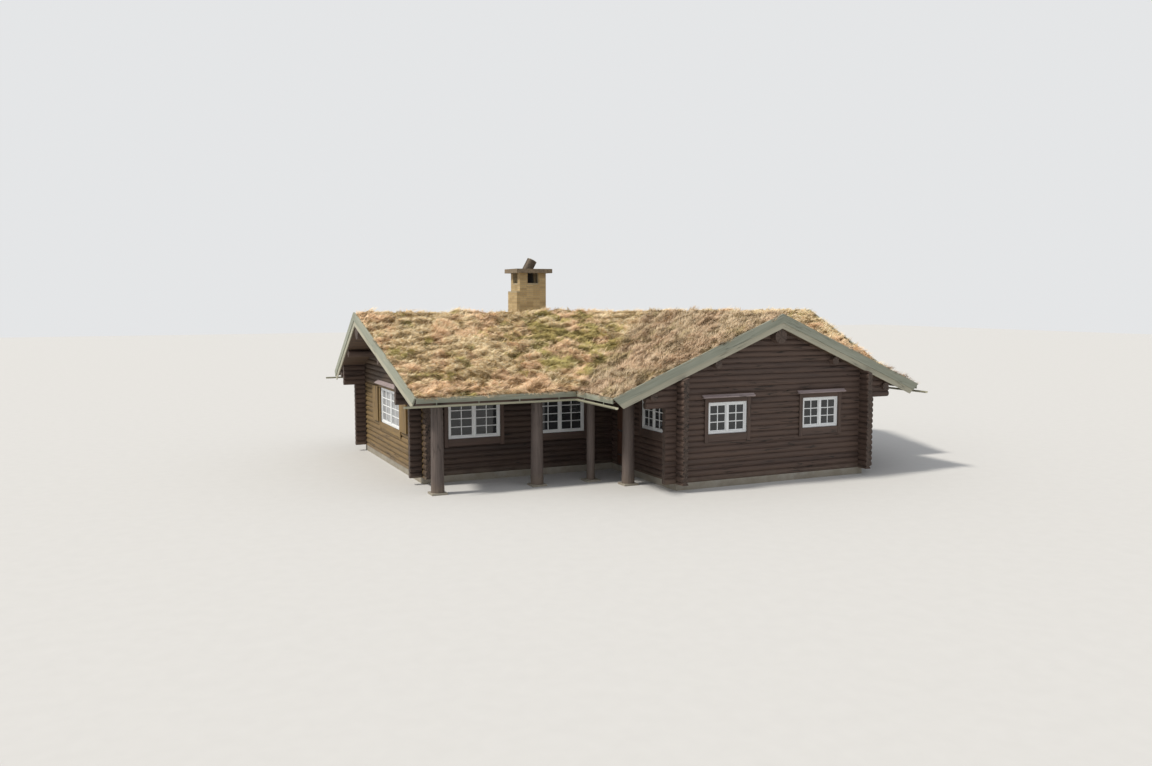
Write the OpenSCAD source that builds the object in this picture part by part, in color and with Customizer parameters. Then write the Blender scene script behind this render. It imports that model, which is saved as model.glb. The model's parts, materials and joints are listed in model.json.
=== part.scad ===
// Single storey log house with a turf roof: a long main house with its ridge along X,
// a cross wing towards the viewer (-Y) with its ridge along Y, and an open porch in the
// inner corner. Millimetres, +Z up. The origin is at the centre of the main house on its
// underside, so Z = 0 is the ground.

/* [Main house] */
// Length of the main house over its gable walls
main_length = 15400; // [12500:100:18000]
// Depth of the main house over its long walls
main_depth = 7200; // [6600:100:7800]
// Height of the concrete plinth above the ground
plinth_h = 200; // [150:10:350]
// Thickness of the plinth strip under a wall
plinth_t = 150; // [120:10:180]
// Thickness of the boards on the ground floor
floor_board_t = 22; // [18:1:30]

/* [Wing] */
// Width of the wing over its side walls
wing_width = 6600; // [6200:100:7000]
// How far the wing stands out from the main house
wing_length = 3900; // [3600:50:4600]
// Distance of the wing's ridge from the middle of the main house
wing_offset = 1710; // [1000:50:2400]

/* [Logs] */
// Diameter of a wall log
log_d = 190; // [180:2:210]
// Height that each course of logs adds to a wall
course = 165; // [150:1:172]
// Length of the crossed log ends beyond a corner
log_end = 350; // [250:10:420]
// Width of the flat that beds the lowest log on the plinth
bed_flat = 128; // [100:2:140]

/* [Roof] */
// Slope of every roof face in degrees
pitch = 22.6; // [20:0.2:26]
// Horizontal run from the ridge to the face of the eave board
roof_run = 5320; // [5200:20:5500]
// Height of the ridge line of the barge boards above the ground
ridge_h = 4890; // [4800:10:5300]
// Depth of the turf, measured upright
turf_t = 120; // [90:5:150]
// How far the turf lies below the top of the boards that hold it
turf_drop = 12; // [5:1:25]
// Upright thickness of the whole roof over the rooms, turf included
roof_t = 430; // [380:5:480]
// Upright thickness of the whole roof at the eaves, turf included
eave_t = 150; // [145:5:200]
// Run from the ridge to where the insulated roof stops
warm_run = 4230; // [4200:10:4400]
// Overhang of the main roof past its gable walls, at the eaves
main_verge = 680; // [450:10:800]
// Overhang of the wing roof past its gable wall, at the eaves
wing_verge = 120; // [80:10:500]
// How much further the main verges reach out at the ridge
main_prow = 430; // [200:10:500]
// How much further the wing's verge reaches out at the ridge
wing_prow = 200; // [100:10:500]

/* [Roof edges] */
// Height of the inner barge board, measured upright
barge_h = 420; // [360:5:480]
// Thickness of the inner barge board
barge_t = 30; // [22:1:40]
// Height of the outer barge board, measured upright
barge_cap_h = 250; // [180:5:300]
// Thickness of the outer barge board
barge_cap_t = 25; // [18:1:35]
// Slope in degrees of the cut at the lower ends of the barge boards
barge_cut = 42; // [35:1:60]
// Thickness of the eave boards
fascia_t = 28; // [20:1:40]
// Outer diameter of the gutters
gutter_d = 110; // [90:2:125]
// Wall thickness of the gutters
gutter_t = 4; // [3:0.5:6]
// How far a gutter's rim hangs below its eave board
gutter_drop = 60; // [40:5:80]
// Width of a gutter strap
strap_w = 30; // [20:1:40]
// Distance between the gutter straps
strap_pitch = 1200; // [900:50:1500]
// How far a gutter's open end runs past the face of the barge boards
gutter_past = 300; // [50:10:400]
// Distance of the last strap from the end of its eave board
strap_in = 200; // [100:10:400]

/* [Purlins] */
// Diameter of the two ridge logs
ridge_log_d = 400; // [300:5:420]
// Diameter of the other roof logs
purlin_d = 220; // [200:5:240]
// Run from the ridge to the middle roof logs
mid_run = 2050; // [1800:10:2300]
// Run from the ridge to the roof logs outside the walls
outer_run = 4050; // [4000:10:4100]
// Distance of a roof log's end behind the face of its barge boards
purlin_back = 30; // [20:5:150]

/* [Porch] */
// Run from the ridge to the beam over the porch posts
beam_run = 5100; // [4950:10:5180]
// Diameter of the beam over the porch posts
beam_d = 200; // [180:2:220]
// Diameter of a porch post at its top
post_top_d = 320; // [280:5:340]
// Diameter of a porch post at its foot
post_foot_d = 370; // [330:5:400]
// Diameter of the slimmer post at the inner corner
slim_post_d = 240; // [200:5:260]
// Depth of the saddle that a post gives its beam
saddle = 50; // [30:2:70]
// Width of the concrete pad under a post
pad_w = 440; // [420:10:520]
// Height of the concrete pad under a post
pad_h = 50; // [30:5:80]
// Distance of the first post from the left gable wall, negative outside it
post_1_in = 0; // [-150:10:100]
// Distance of the second post from the left gable wall
post_2_in = 2940; // [2600:10:3200]
// Distance of the third post from the left gable wall
post_3_in = 4640; // [4400:10:4800]
// Distance of the wing's post from the front face of the main house
wing_post_out = 2480; // [2250:10:2800]

/* [Windows] */
// Height of every window head above the ground
head_h = 2415; // [2380:5:2450]
// Height of a tall window
tall_h = 1155; // [1000:5:1200]
// Height of a low window
low_h = 890; // [800:10:950]
// Width of the porch windows
porch_win_w = 1600; // [1400:10:1700]
// Width of the windows in the main gables
gable_win_w = 2400; // [1800:10:2500]
// Width of the wing's windows and of those at the back
wing_win_w = 1300; // [1100:10:1400]
// Distance from the middle of the wing to the middle of each front window
wing_win_out = 1630; // [1400:10:1700]
// Distance of the porch windows' middles from the left gable wall
porch_win_1_in = 1590; // [1500:10:1700]
porch_win_2_in = 4340; // [4000:10:4500]
// Distance of the side windows' middles from the wing's gable wall
side_win_in = 1350; // [1250:10:1550]
// How far a window frame stands back from the outside of the logs
frame_back = 20; // [10:1:40]
// Width of the members of a window frame
frame_w = 62; // [50:1:75]
// Depth of a window frame
frame_d = 90; // [70:2:110]
// Thickness of the glass
glass_t = 8; // [5:1:12]
// Width of the plank casings beside a window
casing_w = 120; // [90:5:140]
// Thickness of the casings
casing_t = 28; // [20:1:35]
// How far the casings run below the sill
casing_drop = 240; // [150:5:300]
// Height of the underside of the drip board above the window head
drip_up = 130; // [90:5:150]
// How far the drip board stands out from the casings' faces
drip_out = 60; // [40:5:90]
// Thickness of the drip board
drip_t = 30; // [22:1:36]
// How far the drip board runs past the outer edges of the casings
drip_side = 90; // [50:5:120]
// Width of a shutter leaf beside a gable window
shutter_w = 700; // [500:10:800]
// Thickness of a shutter leaf
shutter_t = 27; // [20:1:32]
// Distance of the folded shutters from the casings
shutter_off = 80; // [40:5:120]

/* [Door] */
// Width of the opening for the door
door_w = 960; // [900:5:1000]
// Height of the opening for the door
door_h = 2110; // [2050:5:2150]
// Distance of the door opening from the front face of the main house
door_in = 330; // [300:5:420]
// Thickness of the door frame's members
jamb_t = 45; // [35:1:60]
// Depth of the door frame
jamb_d = 110; // [90:2:140]
// Height of the door sill
sill_h = 40; // [25:1:60]
// Thickness of the door leaf
leaf_t = 50; // [40:1:60]
// How far the door frame stands proud of the logs
frame_proud = 10; // [5:1:20]
// Gap between the leaf and its frame
leaf_gap = 8; // [8:0.5:10]
// Height of the lever handle above the floor
handle_h = 1020; // [950:10:1080]
// Length of the lever
lever_l = 125; // [100:5:140]
// Length of the handle's plate
plate_h = 220; // [180:5:240]
// Width of the handle's plate
plate_w = 44; // [36:1:50]
// Thickness of the handle's plate and lever
handle_t = 9; // [8:0.5:12]
// Distance of the handle's middle from the edge of the leaf
handle_in = 60; // [50:1:75]
// How far the lever stands out from the leaf
lever_out = 52; // [45:1:60]
// Diameter of the hinge barrels
hinge_d = 20; // [16:1:24]
// Diameter of the hinge pins
pin_d = 10; // [8:0.5:12]
// Length of one hinge, both barrels together
hinge_l = 120; // [90:5:150]
// Distance of the outer hinges from the ends of the leaf
hinge_in = 260; // [200:10:350]

/* [Chimney] */
// Width of the chimney stack along the ridge
stack_w = 950; // [800:10:1000]
// Depth of the chimney stack across the ridge
stack_d = 820; // [700:10:900]
// Distance of the stack's middle from the left gable wall
stack_in = 5050; // [4600:10:5400]
// Distance of the stack's front face behind the ridge
stack_back = 270; // [200:10:400]
// Height of the brickwork's top above the ground
stack_h = 6175; // [5900:5:6400]
// Width of the shoulder on the stack's left side
shoulder_w = 110; // [80:5:150]
// Height of the shoulder's top above the ridge
shoulder_up = 670; // [400:10:800]
// Width of the flue
flue_w = 390; // [300:10:420]
// Height of the smoke outlets under the slab
outlet_h = 340; // [260:10:380]
// Thickness of the slab on the stack
slab_t = 140; // [90:5:160]
// How far the slab reaches past the brickwork
slab_out = 170; // [100:5:220]
// Diameter of the flue's cowl
cowl_d = 340; // [240:5:380]
// Length of the cowl's axis above the slab
cowl_h = 340; // [250:5:400]
// Lean of the cowl in degrees
cowl_lean = 29; // [0:1:35]
// Distance of the cowl's middle from the stack's middle
cowl_in = 25; // [0:5:150]

/* [Hidden] */

$fn = 48;
seat = 0.3;          // clearance of one piece in or on another
reach = 40000;       // longer than any part, for cutting
barrel_off = 2;      // distance of a hinge barrel from the face of the door frame
pin_play = 0.2;      // how much wider a hinge's bore is than its pin
log_r = log_d / 2;
// half thickness of a wall in the grooves between its logs
groove = sqrt(pow(log_r, 2) - pow(course / 2, 2));
// distance from a wall's centre line at which the logs of a crossing wall end
butt = groove + seat;
rise = tan(pitch);
half_len = main_length / 2;
half_dep = main_depth / 2;
wing_x = wing_offset;
wing_half = wing_width / 2;
wing_y = -half_dep - wing_length;
wing_l = wing_x - wing_half;
wing_r = wing_x + wing_half;
barge_all = barge_t + barge_cap_t;
deck_run = roof_run - fascia_t;
eave_z = roof_z(roof_run, 0);
first_x_log = plinth_h + sqrt(pow(log_r, 2) - pow(bed_flat / 2, 2));
first_y_log = first_x_log - course / 2;
courses = ceil((ridge_h - plinth_h) / course);
tall_sill = head_h - tall_h;
low_sill = head_h - low_h;
door_y1 = -half_dep - door_in;
door_y0 = door_y1 - door_w;
door_head = plinth_h + door_h;
beam_z = log_under(beam_run, beam_d, eave_t);
outer_z = log_under(outer_run, purlin_d, roof_t);
mid_z = log_under(mid_run, purlin_d, roof_t);
ridge_z = ridge_h - roof_t - ridge_log_d / 2 / cos(pitch);
// width of the slot over a ridge log, a little past the lines where the roof rests on it
ridge_slot = ridge_log_d * sin(pitch) + 40;
// the corbelled logs that carry the outer purlins start at the course below them
corbel_x_from = floor((outer_z - purlin_d / 2 - first_x_log) / course);
corbel_y_from = floor((outer_z - purlin_d / 2 - first_y_log) / course);
// the corbelled ends of the main house's long walls stop behind its barge boards
corbel_end = main_edge(half_dep, barge_all + purlin_back);
stack_x = -half_len + stack_in;

// Height of a plane that lies an upright distance below the roof line, at a run from a ridge
function roof_z(run, below) = ridge_h - run * rise - below;
// Height of the axis of a round log that lies against the underside of the roof
function log_under(run, d, thick) = roof_z(run, thick) - d / 2 / cos(pitch);
// Distance of the main verge from the middle, and of the wing verge from the main ridge
function main_edge(run, inset) = half_len + main_verge + main_prow * (1 - run / roof_run) - inset;
function wing_edge(run, inset) = -wing_y + wing_verge + wing_prow * (1 - run / roof_run) - inset;

// Stacked round logs in section
module stack_of_logs(first, from, to) {
    for (i = [from : to]) translate([0, first + i * course]) circle(d = log_d);
}

// A length of log wall along X, and one along Y
module x_logs(x0, x1, y, from = 0, to = courses) {
    translate([x0, y, 0]) rotate([90, 0, 90]) linear_extrude(x1 - x0)
        stack_of_logs(first_x_log, from, to);
}
module y_logs(y0, y1, x, from = 0, to = courses) {
    translate([x, y1, 0]) rotate([90, 0, 0]) linear_extrude(y1 - y0)
        stack_of_logs(first_y_log, from, to);
}

// A round log along X, and one along Y
module x_round(x0, x1, y, z, d) {
    translate([x0, y, z]) rotate([0, 90, 0]) cylinder(d = d, h = x1 - x0);
}
module y_round(y0, y1, x, z, d) {
    translate([x, y1, z]) rotate([90, 0, 0]) cylinder(d = d, h = y1 - y0);
}

// The space under the warm roof: main house, wing and both
function under_section(c) = [
    [c - roof_run, plinth_h], [c + roof_run, plinth_h],
    [c + roof_run, roof_z(roof_run, roof_t + seat)], [c, roof_z(0, roof_t + seat)],
    [c - roof_run, roof_z(roof_run, roof_t + seat)]
];
module under_main() {
    translate([-reach / 2, 0, 0]) rotate([90, 0, 90]) linear_extrude(reach)
        polygon(under_section(0));
}
module under_wing() {
    rotate([90, 0, 0]) linear_extrude(reach) polygon(under_section(wing_x));
}

// A flat-sided cut in a wall along X where a wall along Y meets it, on the side given
module notch(x, y, side) {
    depth = log_r + 1 - groove;
    translate([x - log_r, side > 0 ? y + groove : y - groove - depth, -1])
        cube([log_d, depth, ridge_h]);
}

// An opening through a wall along X, and one along Y
module x_hole(x, y, w, z0, z1) {
    translate([x - w / 2, y - log_d, z0]) cube([w, 2 * log_d, z1 - z0]);
}
module y_hole(x, y, w, z0, z1) {
    translate([x - log_d, y - w / 2, z0]) cube([2 * log_d, w, z1 - z0]);
}

// Wall centre lines
front_y = -half_dep + log_r;
rear_y = half_dep - log_r;
left_x = -half_len + log_r;
right_x = half_len - log_r;
wing_front_y = wing_y + log_r;
wing_left_x = wing_l + log_r;
wing_right_x = wing_r - log_r;

// Windows as [middle, width, height of the sill]
porch_wins = [
    [-half_len + porch_win_1_in, porch_win_w, tall_sill],
    [-half_len + porch_win_2_in, porch_win_w, tall_sill]
];
wing_wins = [
    [wing_x - wing_win_out, wing_win_w, low_sill],
    [wing_x + wing_win_out, wing_win_w, low_sill]
];
rear_wins = [
    [-half_len * 0.62, wing_win_w, low_sill],
    [wing_x, wing_win_w, low_sill],
    [half_len * 0.73, wing_win_w, low_sill]
];
gable_win = [0, gable_win_w, tall_sill];
wing_side_win = [wing_y + side_win_in, wing_win_w, low_sill];

module plinth() {
    color("gainsboro") linear_extrude(plinth_h) difference() {
        plinth_outline(plinth_t / 2);
        room_outline();
    }
}

// Outline of the house on its wall centre lines, grown by a distance
module plinth_outline(grow) {
    translate([left_x - grow, front_y - grow])
        square([right_x - left_x + 2 * grow, rear_y - front_y + 2 * grow]);
    translate([wing_left_x - grow, wing_front_y - grow])
        square([wing_right_x - wing_left_x + 2 * grow, front_y - wing_front_y + 2 * grow]);
}

// The floor inside the plinth, open from the main house into the wing
module room_outline() {
    plinth_outline(-plinth_t / 2);
    translate([wing_left_x + plinth_t / 2, front_y - plinth_t])
        square([wing_right_x - wing_left_x - plinth_t, 2 * plinth_t]);
}

module floor_slab() {
    color("silver") difference() {
        linear_extrude(plinth_h - floor_board_t) room_outline();
        stack_room(0);
    }
}

module floor_boards() {
    color("burlywood") difference() {
        translate([0, 0, plinth_h - floor_board_t]) linear_extrude(floor_board_t)
            room_outline();
        stack_room(seat);
    }
}

// The space that the chimney takes, grown by a clearance
module stack_room(gap) {
    translate([stack_x - stack_w / 2 - shoulder_w - gap, stack_back - gap, -1])
        cube([stack_w + shoulder_w + 2 * gap, stack_d + 2 * gap, 2 * ridge_h]);
}

module front_wall() {
    color("saddlebrown") difference() {
        intersection() {
            union() {
                x_logs(-half_len - log_end, wing_l + log_d, front_y);
                x_logs(-corbel_end, -half_len - log_end, front_y, corbel_x_from, courses);
            }
            union() {
                under_main();
                under_wing();
            }
        }
        notch(left_x, front_y, -1);
        notch(left_x, front_y, 1);
        notch(wing_left_x, front_y, -1);
        for (w = porch_wins) x_hole(w[0], front_y, w[1], w[2], head_h);
    }
}

module front_wall_right() {
    color("saddlebrown") difference() {
        intersection() {
            union() {
                x_logs(wing_r - log_d, half_len + log_end, front_y);
                x_logs(half_len + log_end, corbel_end, front_y, corbel_x_from, courses);
            }
            union() {
                under_main();
                under_wing();
            }
        }
        notch(right_x, front_y, -1);
        notch(right_x, front_y, 1);
        notch(wing_right_x, front_y, -1);
    }
}

module rear_wall() {
    color("saddlebrown") difference() {
        intersection() {
            union() {
                x_logs(-half_len - log_end, half_len + log_end, rear_y);
                x_logs(-corbel_end, corbel_end, rear_y, corbel_x_from, courses);
            }
            under_main();
        }
        for (x = [left_x, right_x]) {
            notch(x, rear_y, -1);
            notch(x, rear_y, 1);
        }
        for (w = rear_wins) x_hole(w[0], rear_y, w[1], w[2], head_h);
    }
}

// A gable wall of the main house: the wall between the long walls, the crossed log ends
// beyond them, and the longer ends at the back that carry the eave purlin
module main_gable(x) {
    color("saddlebrown") difference() {
        intersection() {
            union() {
                y_logs(front_y + butt, rear_y - butt, x);
                y_logs(-half_dep - log_end, front_y - butt, x);
                y_logs(rear_y + butt, half_dep + log_end, x);
                y_logs(half_dep + log_end, outer_run + purlin_d / 2 + log_r, x,
                       corbel_y_from, courses);
            }
            under_main();
        }
        y_hole(x, gable_win[0], gable_win[1], gable_win[2], head_h);
        main_roof_logs(2 * seat);
    }
}

module left_gable_wall() { main_gable(left_x); }

module right_gable_wall() { main_gable(right_x); }

module wing_front_wall() {
    color("saddlebrown") difference() {
        intersection() {
            union() {
                x_logs(wing_l - log_end, wing_r + log_end, wing_front_y);
                x_logs(wing_x - outer_run - purlin_d / 2 - log_r, wing_l - log_end,
                       wing_front_y, corbel_x_from, courses);
                x_logs(wing_r + log_end, wing_x + outer_run + purlin_d / 2 + log_r,
                       wing_front_y, corbel_x_from, courses);
            }
            under_wing();
        }
        for (x = [wing_left_x, wing_right_x]) {
            notch(x, wing_front_y, -1);
            notch(x, wing_front_y, 1);
        }
        for (w = wing_wins) x_hole(w[0], wing_front_y, w[1], w[2], head_h);
        wing_roof_logs(2 * seat);
    }
}

// The stub ends in front of the wing's gable wall, and the side walls behind it
module wing_stubs(x) {
    y_logs(wing_y - log_end, wing_front_y - butt, x);
}

module wing_left_wall() {
    color("saddlebrown") difference() {
        intersection() {
            union() {
                wing_stubs(wing_left_x);
                y_logs(wing_front_y + butt, door_y0, wing_left_x);
            }
            under_wing();
        }
        y_hole(wing_left_x, wing_side_win[0], wing_side_win[1], wing_side_win[2], head_h);
    }
}

module wall_beside_door() {
    color("saddlebrown") intersection() {
        y_logs(door_y1, front_y - butt, wing_left_x);
        under_wing();
    }
}

module wall_over_door() {
    color("saddlebrown") intersection() {
        y_logs(door_y0, door_y1, wing_left_x);
        under_wing();
        translate([wing_l, door_y0, door_head]) cube([log_d, door_w, ridge_h]);
    }
}

module wing_right_wall() {
    color("saddlebrown") difference() {
        intersection() {
            union() {
                wing_stubs(wing_right_x);
                y_logs(wing_front_y + butt, front_y - butt, wing_right_x);
            }
            under_wing();
        }
        y_hole(wing_right_x, wing_side_win[0], wing_side_win[1], wing_side_win[2], head_h);
    }
}

// Porch posts as [x, y, diameter at the top, diameter at the foot, height of the log above]
posts = [
    [-half_len + post_1_in, -beam_run, post_top_d, post_foot_d, beam_z, beam_d],
    [-half_len + post_2_in, -beam_run, post_top_d, post_foot_d, beam_z, beam_d],
    [-half_len + post_3_in, -beam_run, slim_post_d, slim_post_d, beam_z, beam_d],
    [wing_x - outer_run, -half_dep - wing_post_out, post_top_d, post_foot_d, outer_z, purlin_d]
];

module post_pads() {
    color("lightgray") for (p = posts)
        translate([p[0] - pad_w / 2, p[1] - pad_w / 2, 0]) cube([pad_w, pad_w, pad_h]);
}

module porch_posts() {
    color("rosybrown") difference() {
        for (p = posts) {
            top = p[4] - p[5] / 2 + saddle;
            translate([p[0], p[1], pad_h]) cylinder(d1 = p[3], d2 = p[2], h = top - pad_h);
        }
        x_round(-reach / 4, reach / 4, -beam_run, beam_z, beam_d + 2 * seat);
        y_round(-reach / 4, reach / 4, wing_x - outer_run, outer_z, purlin_d + 2 * seat);
    }
}

module porch_beam() {
    color("sienna")
        x_round(-main_edge(beam_run, barge_all + purlin_back), posts[2][0] + slim_post_d,
                -beam_run, beam_z, beam_d);
}

module main_ridge_log() {
    end = main_edge(0, barge_all + purlin_back);
    color("sienna") x_round(-end, end, 0, ridge_z, ridge_log_d);
}

module wing_ridge_log() {
    color("sienna")
        y_round(-wing_edge(0, barge_all + purlin_back), -ridge_log_d / 2 - seat,
                wing_x, ridge_z, ridge_log_d);
}

// The main house's roof logs, grown by a clearance, for their holes in the gable walls
module main_roof_logs(grow) {
    x_round(-reach / 2, reach / 2, 0, ridge_z, ridge_log_d + grow);
    translate([-reach / 2, -ridge_slot / 2, ridge_z]) cube([reach, ridge_slot, ridge_log_d]);
    for (s = [-1, 1]) x_round(-reach / 2, reach / 2, s * mid_run, mid_z, purlin_d + grow);
    x_round(-reach / 2, reach / 2, outer_run, outer_z, purlin_d + grow);
}

module wing_roof_logs(grow) {
    y_round(-reach / 2, 0, wing_x, ridge_z, ridge_log_d + grow);
    translate([wing_x - ridge_slot / 2, -reach / 2, ridge_z])
        cube([ridge_slot, reach / 2, ridge_log_d]);
    for (s = [-1, 1]) {
        y_round(-reach / 2, 0, wing_x + s * mid_run, mid_z, purlin_d + grow);
        y_round(-reach / 2, 0, wing_x + s * outer_run, outer_z, purlin_d + grow);
    }
}

module main_purlins() {
    end = main_edge(mid_run, barge_all + purlin_back);
    color("sienna") {
        x_round(-end, end, mid_run, mid_z, purlin_d);
        x_round(-end, wing_x - mid_run - purlin_d, -mid_run, mid_z, purlin_d);
        x_round(wing_x + mid_run + purlin_d, end, -mid_run, mid_z, purlin_d);
    }
}

module wing_purlins() {
    end = wing_edge(mid_run, barge_all + purlin_back);
    color("sienna") for (s = [-1, 1])
        y_round(-end, -mid_run, wing_x + s * mid_run, mid_z, purlin_d);
}

module wing_eave_purlins() {
    end = wing_edge(outer_run, barge_all + purlin_back);
    color("sienna") for (s = [-1, 1])
        y_round(-end, -outer_run, wing_x + s * outer_run, outer_z, purlin_d);
}

module rear_eave_purlin() {
    end = main_edge(outer_run, barge_all + purlin_back);
    color("sienna") x_round(-end, end, outer_run, outer_z, purlin_d);
}

// Roof faces in plan: the deck and turf stop at the boards that hold them
function front_left_plan() = [
    [wing_x, 0], [-main_edge(0, barge_all), 0],
    [-main_edge(deck_run, barge_all), -deck_run], [wing_x - deck_run, -deck_run]
];
function front_right_plan() = [
    [wing_x, 0], [wing_x + deck_run, -deck_run],
    [main_edge(deck_run, barge_all), -deck_run], [main_edge(0, barge_all), 0]
];
function back_plan() = [
    [-main_edge(0, barge_all), 0], [main_edge(0, barge_all), 0],
    [main_edge(deck_run, barge_all), deck_run], [-main_edge(deck_run, barge_all), deck_run]
];
function wing_plan(s) = [
    [wing_x, 0], [wing_x + s * deck_run, -deck_run],
    [wing_x + s * deck_run, -wing_edge(deck_run, barge_all)],
    [wing_x, -wing_edge(0, barge_all)]
];

// A layer of the main roof or of the wing roof, from points of run and depth below the
// roof line, on one side of the ridge, cut to its plan
module main_layer(side, points, plan) {
    intersection() {
        translate([-reach / 2, 0, 0]) rotate([90, 0, 90]) linear_extrude(reach)
            polygon([for (p = points) [side * p[0], roof_z(p[0], p[1])]]);
        linear_extrude(2 * ridge_h) polygon(plan);
    }
}
module wing_layer(side, points, plan) {
    intersection() {
        rotate([90, 0, 0]) linear_extrude(reach)
            polygon([for (p = points) [wing_x + side * p[0], roof_z(p[0], p[1])]]);
        linear_extrude(2 * ridge_h) polygon(plan);
    }
}

deck_layer = [
    [0, turf_drop + turf_t], [roof_run, turf_drop + turf_t], [roof_run, eave_t],
    [warm_run, eave_t], [warm_run, roof_t], [0, roof_t]
];
turf_layer = [
    [0, turf_drop], [roof_run, turf_drop],
    [roof_run, turf_drop + turf_t], [0, turf_drop + turf_t]
];

module deck_front_left() {
    color("peru") main_layer(-1, deck_layer, front_left_plan());
}
module deck_front_right() {
    color("peru") main_layer(-1, deck_layer, front_right_plan());
}
module deck_back() {
    color("peru") difference() {
        main_layer(1, deck_layer, back_plan());
        stack_room(seat);
    }
}
module deck_wing_left() {
    color("peru") wing_layer(-1, deck_layer, wing_plan(-1));
}
module deck_wing_right() {
    color("peru") wing_layer(1, deck_layer, wing_plan(1));
}
module turf_front_left() {
    color("tan") main_layer(-1, turf_layer, front_left_plan());
}
module turf_front_right() {
    color("tan") main_layer(-1, turf_layer, front_right_plan());
}
module turf_back() {
    color("tan") difference() {
        main_layer(1, turf_layer, back_plan());
        stack_room(seat);
    }
}
module turf_wing_left() {
    color("tan") wing_layer(-1, turf_layer, wing_plan(-1));
}
module turf_wing_right() {
    color("tan") wing_layer(1, turf_layer, wing_plan(1));
}

// A barge board on one slope, with a raking cut at its lower end, as a strip between two
// insets from the verge
function board_section(h) = [
    [0, 0], [roof_run, 0], [roof_run - h / (rise + tan(barge_cut)), h], [0, h]
];
function main_strip(side, end, inner, outer) = [
    [end * main_edge(0, inner), 0], [end * main_edge(roof_run, inner), side * roof_run],
    [end * main_edge(roof_run, outer), side * roof_run], [end * main_edge(0, outer), 0]
];
module main_barge(end) {
    color("darkseagreen") for (side = [-1, 1]) {
        main_layer(side, board_section(barge_h),
                   main_strip(side, end, barge_all, barge_cap_t));
        main_layer(side, board_section(barge_cap_h), main_strip(side, end, barge_cap_t, 0));
    }
}
module barge_left() { main_barge(-1); }
module barge_right() { main_barge(1); }

function wing_strip(side, inner, outer) = [
    [wing_x, -wing_edge(0, inner)],
    [wing_x + side * roof_run, -wing_edge(roof_run, inner)],
    [wing_x + side * roof_run, -wing_edge(roof_run, outer)],
    [wing_x, -wing_edge(0, outer)]
];
module barge_wing() {
    color("darkseagreen") for (side = [-1, 1]) {
        wing_layer(side, board_section(barge_h), wing_strip(side, barge_all, barge_cap_t));
        wing_layer(side, board_section(barge_cap_h), wing_strip(side, barge_cap_t, 0));
    }
}

// Eave lines as [start, direction angle, length, mitre at the start, mitre at the end], with
// the outside on the right hand; a mitre is in an inner corner of the eaves
function eave_lines() = let (
    m = main_edge(roof_run, barge_all) - seat,
    w = wing_edge(roof_run, barge_all) - seat
) [
    [[-m, -roof_run], 0, m + wing_x - roof_run, false, true],
    [[wing_x - roof_run, -roof_run], -90, w - roof_run, true, false],
    [[wing_x + roof_run, -w], 90, w - roof_run, false, true],
    [[wing_x + roof_run, -roof_run], 0, m - wing_x - roof_run, true, false],
    [[m, roof_run], 180, 2 * m, false, false]
];

module at_eave(e) {
    translate([e[0][0], e[0][1], eave_z]) rotate([0, 0, e[1]]) children();
}

module eave_boards() {
    color("darkseagreen") for (e = eave_lines()) {
        // in an inner corner one board runs on behind the end of the other
        lap = e[3] ? fascia_t : 0;
        short = e[4] ? seat : 0;
        at_eave(e) translate([-lap, 0, -eave_t])
            cube([e[2] + lap - short, fascia_t, eave_t]);
    }
}

module mitre_cut() {
    translate([-seat, -2 * gutter_d, 0]) cube([3 * gutter_d, 4 * gutter_d, 2 * gutter_d]);
}

// A half round gutter, mitred in an inner corner, or run on past the barge boards
module gutter(e) {
    r = gutter_d / 2;
    rim = -eave_t - gutter_drop;
    past = barge_all + gutter_past;
    a = e[3] ? 0 : -past;
    b = e[4] ? e[2] : e[2] + past;
    difference() {
        translate([a, -r - seat, rim]) rotate([90, 0, 90]) linear_extrude(b - a)
            difference() {
                circle(r = r);
                circle(r = r - gutter_t);
                translate([-r, 0]) square([gutter_d, r]);
            }
        if (e[3]) translate([0, 0, rim - gutter_d]) rotate([0, 0, -135]) mitre_cut();
        if (e[4]) translate([e[2], 0, rim - gutter_d]) rotate([0, 0, -45]) mitre_cut();
    }
    n = floor((e[2] - 2 * strap_in) / strap_pitch);
    first = (e[2] - n * strap_pitch) / 2;
    for (i = [0 : n]) translate([first + i * strap_pitch - strap_w / 2, -gutter_t - seat,
                                 rim - gutter_t])
        cube([strap_w, gutter_t, gutter_drop + eave_t / 2 + gutter_t]);
}

module gutters() {
    color("beige") for (e = eave_lines()) at_eave(e) gutter(e);
}

// One window in its own frame: the opening's middle at the origin, +X along the wall and
// -Y outwards, with Y = 0 on the outer face of the logs
module frame_solid(w, h) {
    translate([-w / 2 + seat, frame_back, seat]) difference() {
        cube([w - 2 * seat, frame_d, h - 2 * seat]);
        for (i = [0, 1]) translate([frame_w + i * (w - frame_w) / 2, -1, frame_w])
            cube([(w - 3 * frame_w) / 2, frame_d + 2, h - 2 * frame_w]);
    }
}
module glass_solid(w, h) {
    for (i = [0, 1])
        translate([-w / 2 + frame_w + i * (w - frame_w) / 2 + seat,
                   frame_back + (frame_d - glass_t) / 2, frame_w + seat])
            cube([(w - 3 * frame_w) / 2 - 2 * seat, glass_t, h - 2 * frame_w - 2 * seat]);
}
module trim_solid(w, h) {
    for (s = [-1, 1]) translate([s * (w / 2 + casing_w / 2) - casing_w / 2,
                                 -casing_t - seat, -casing_drop])
        cube([casing_w, casing_t, h + casing_drop + drip_up]);
    translate([-w / 2 - casing_w - drip_side, -casing_t - drip_out - seat,
               h + drip_up + seat])
        cube([w + 2 * casing_w + 2 * drip_side, casing_t + drip_out, drip_t]);
}

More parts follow.
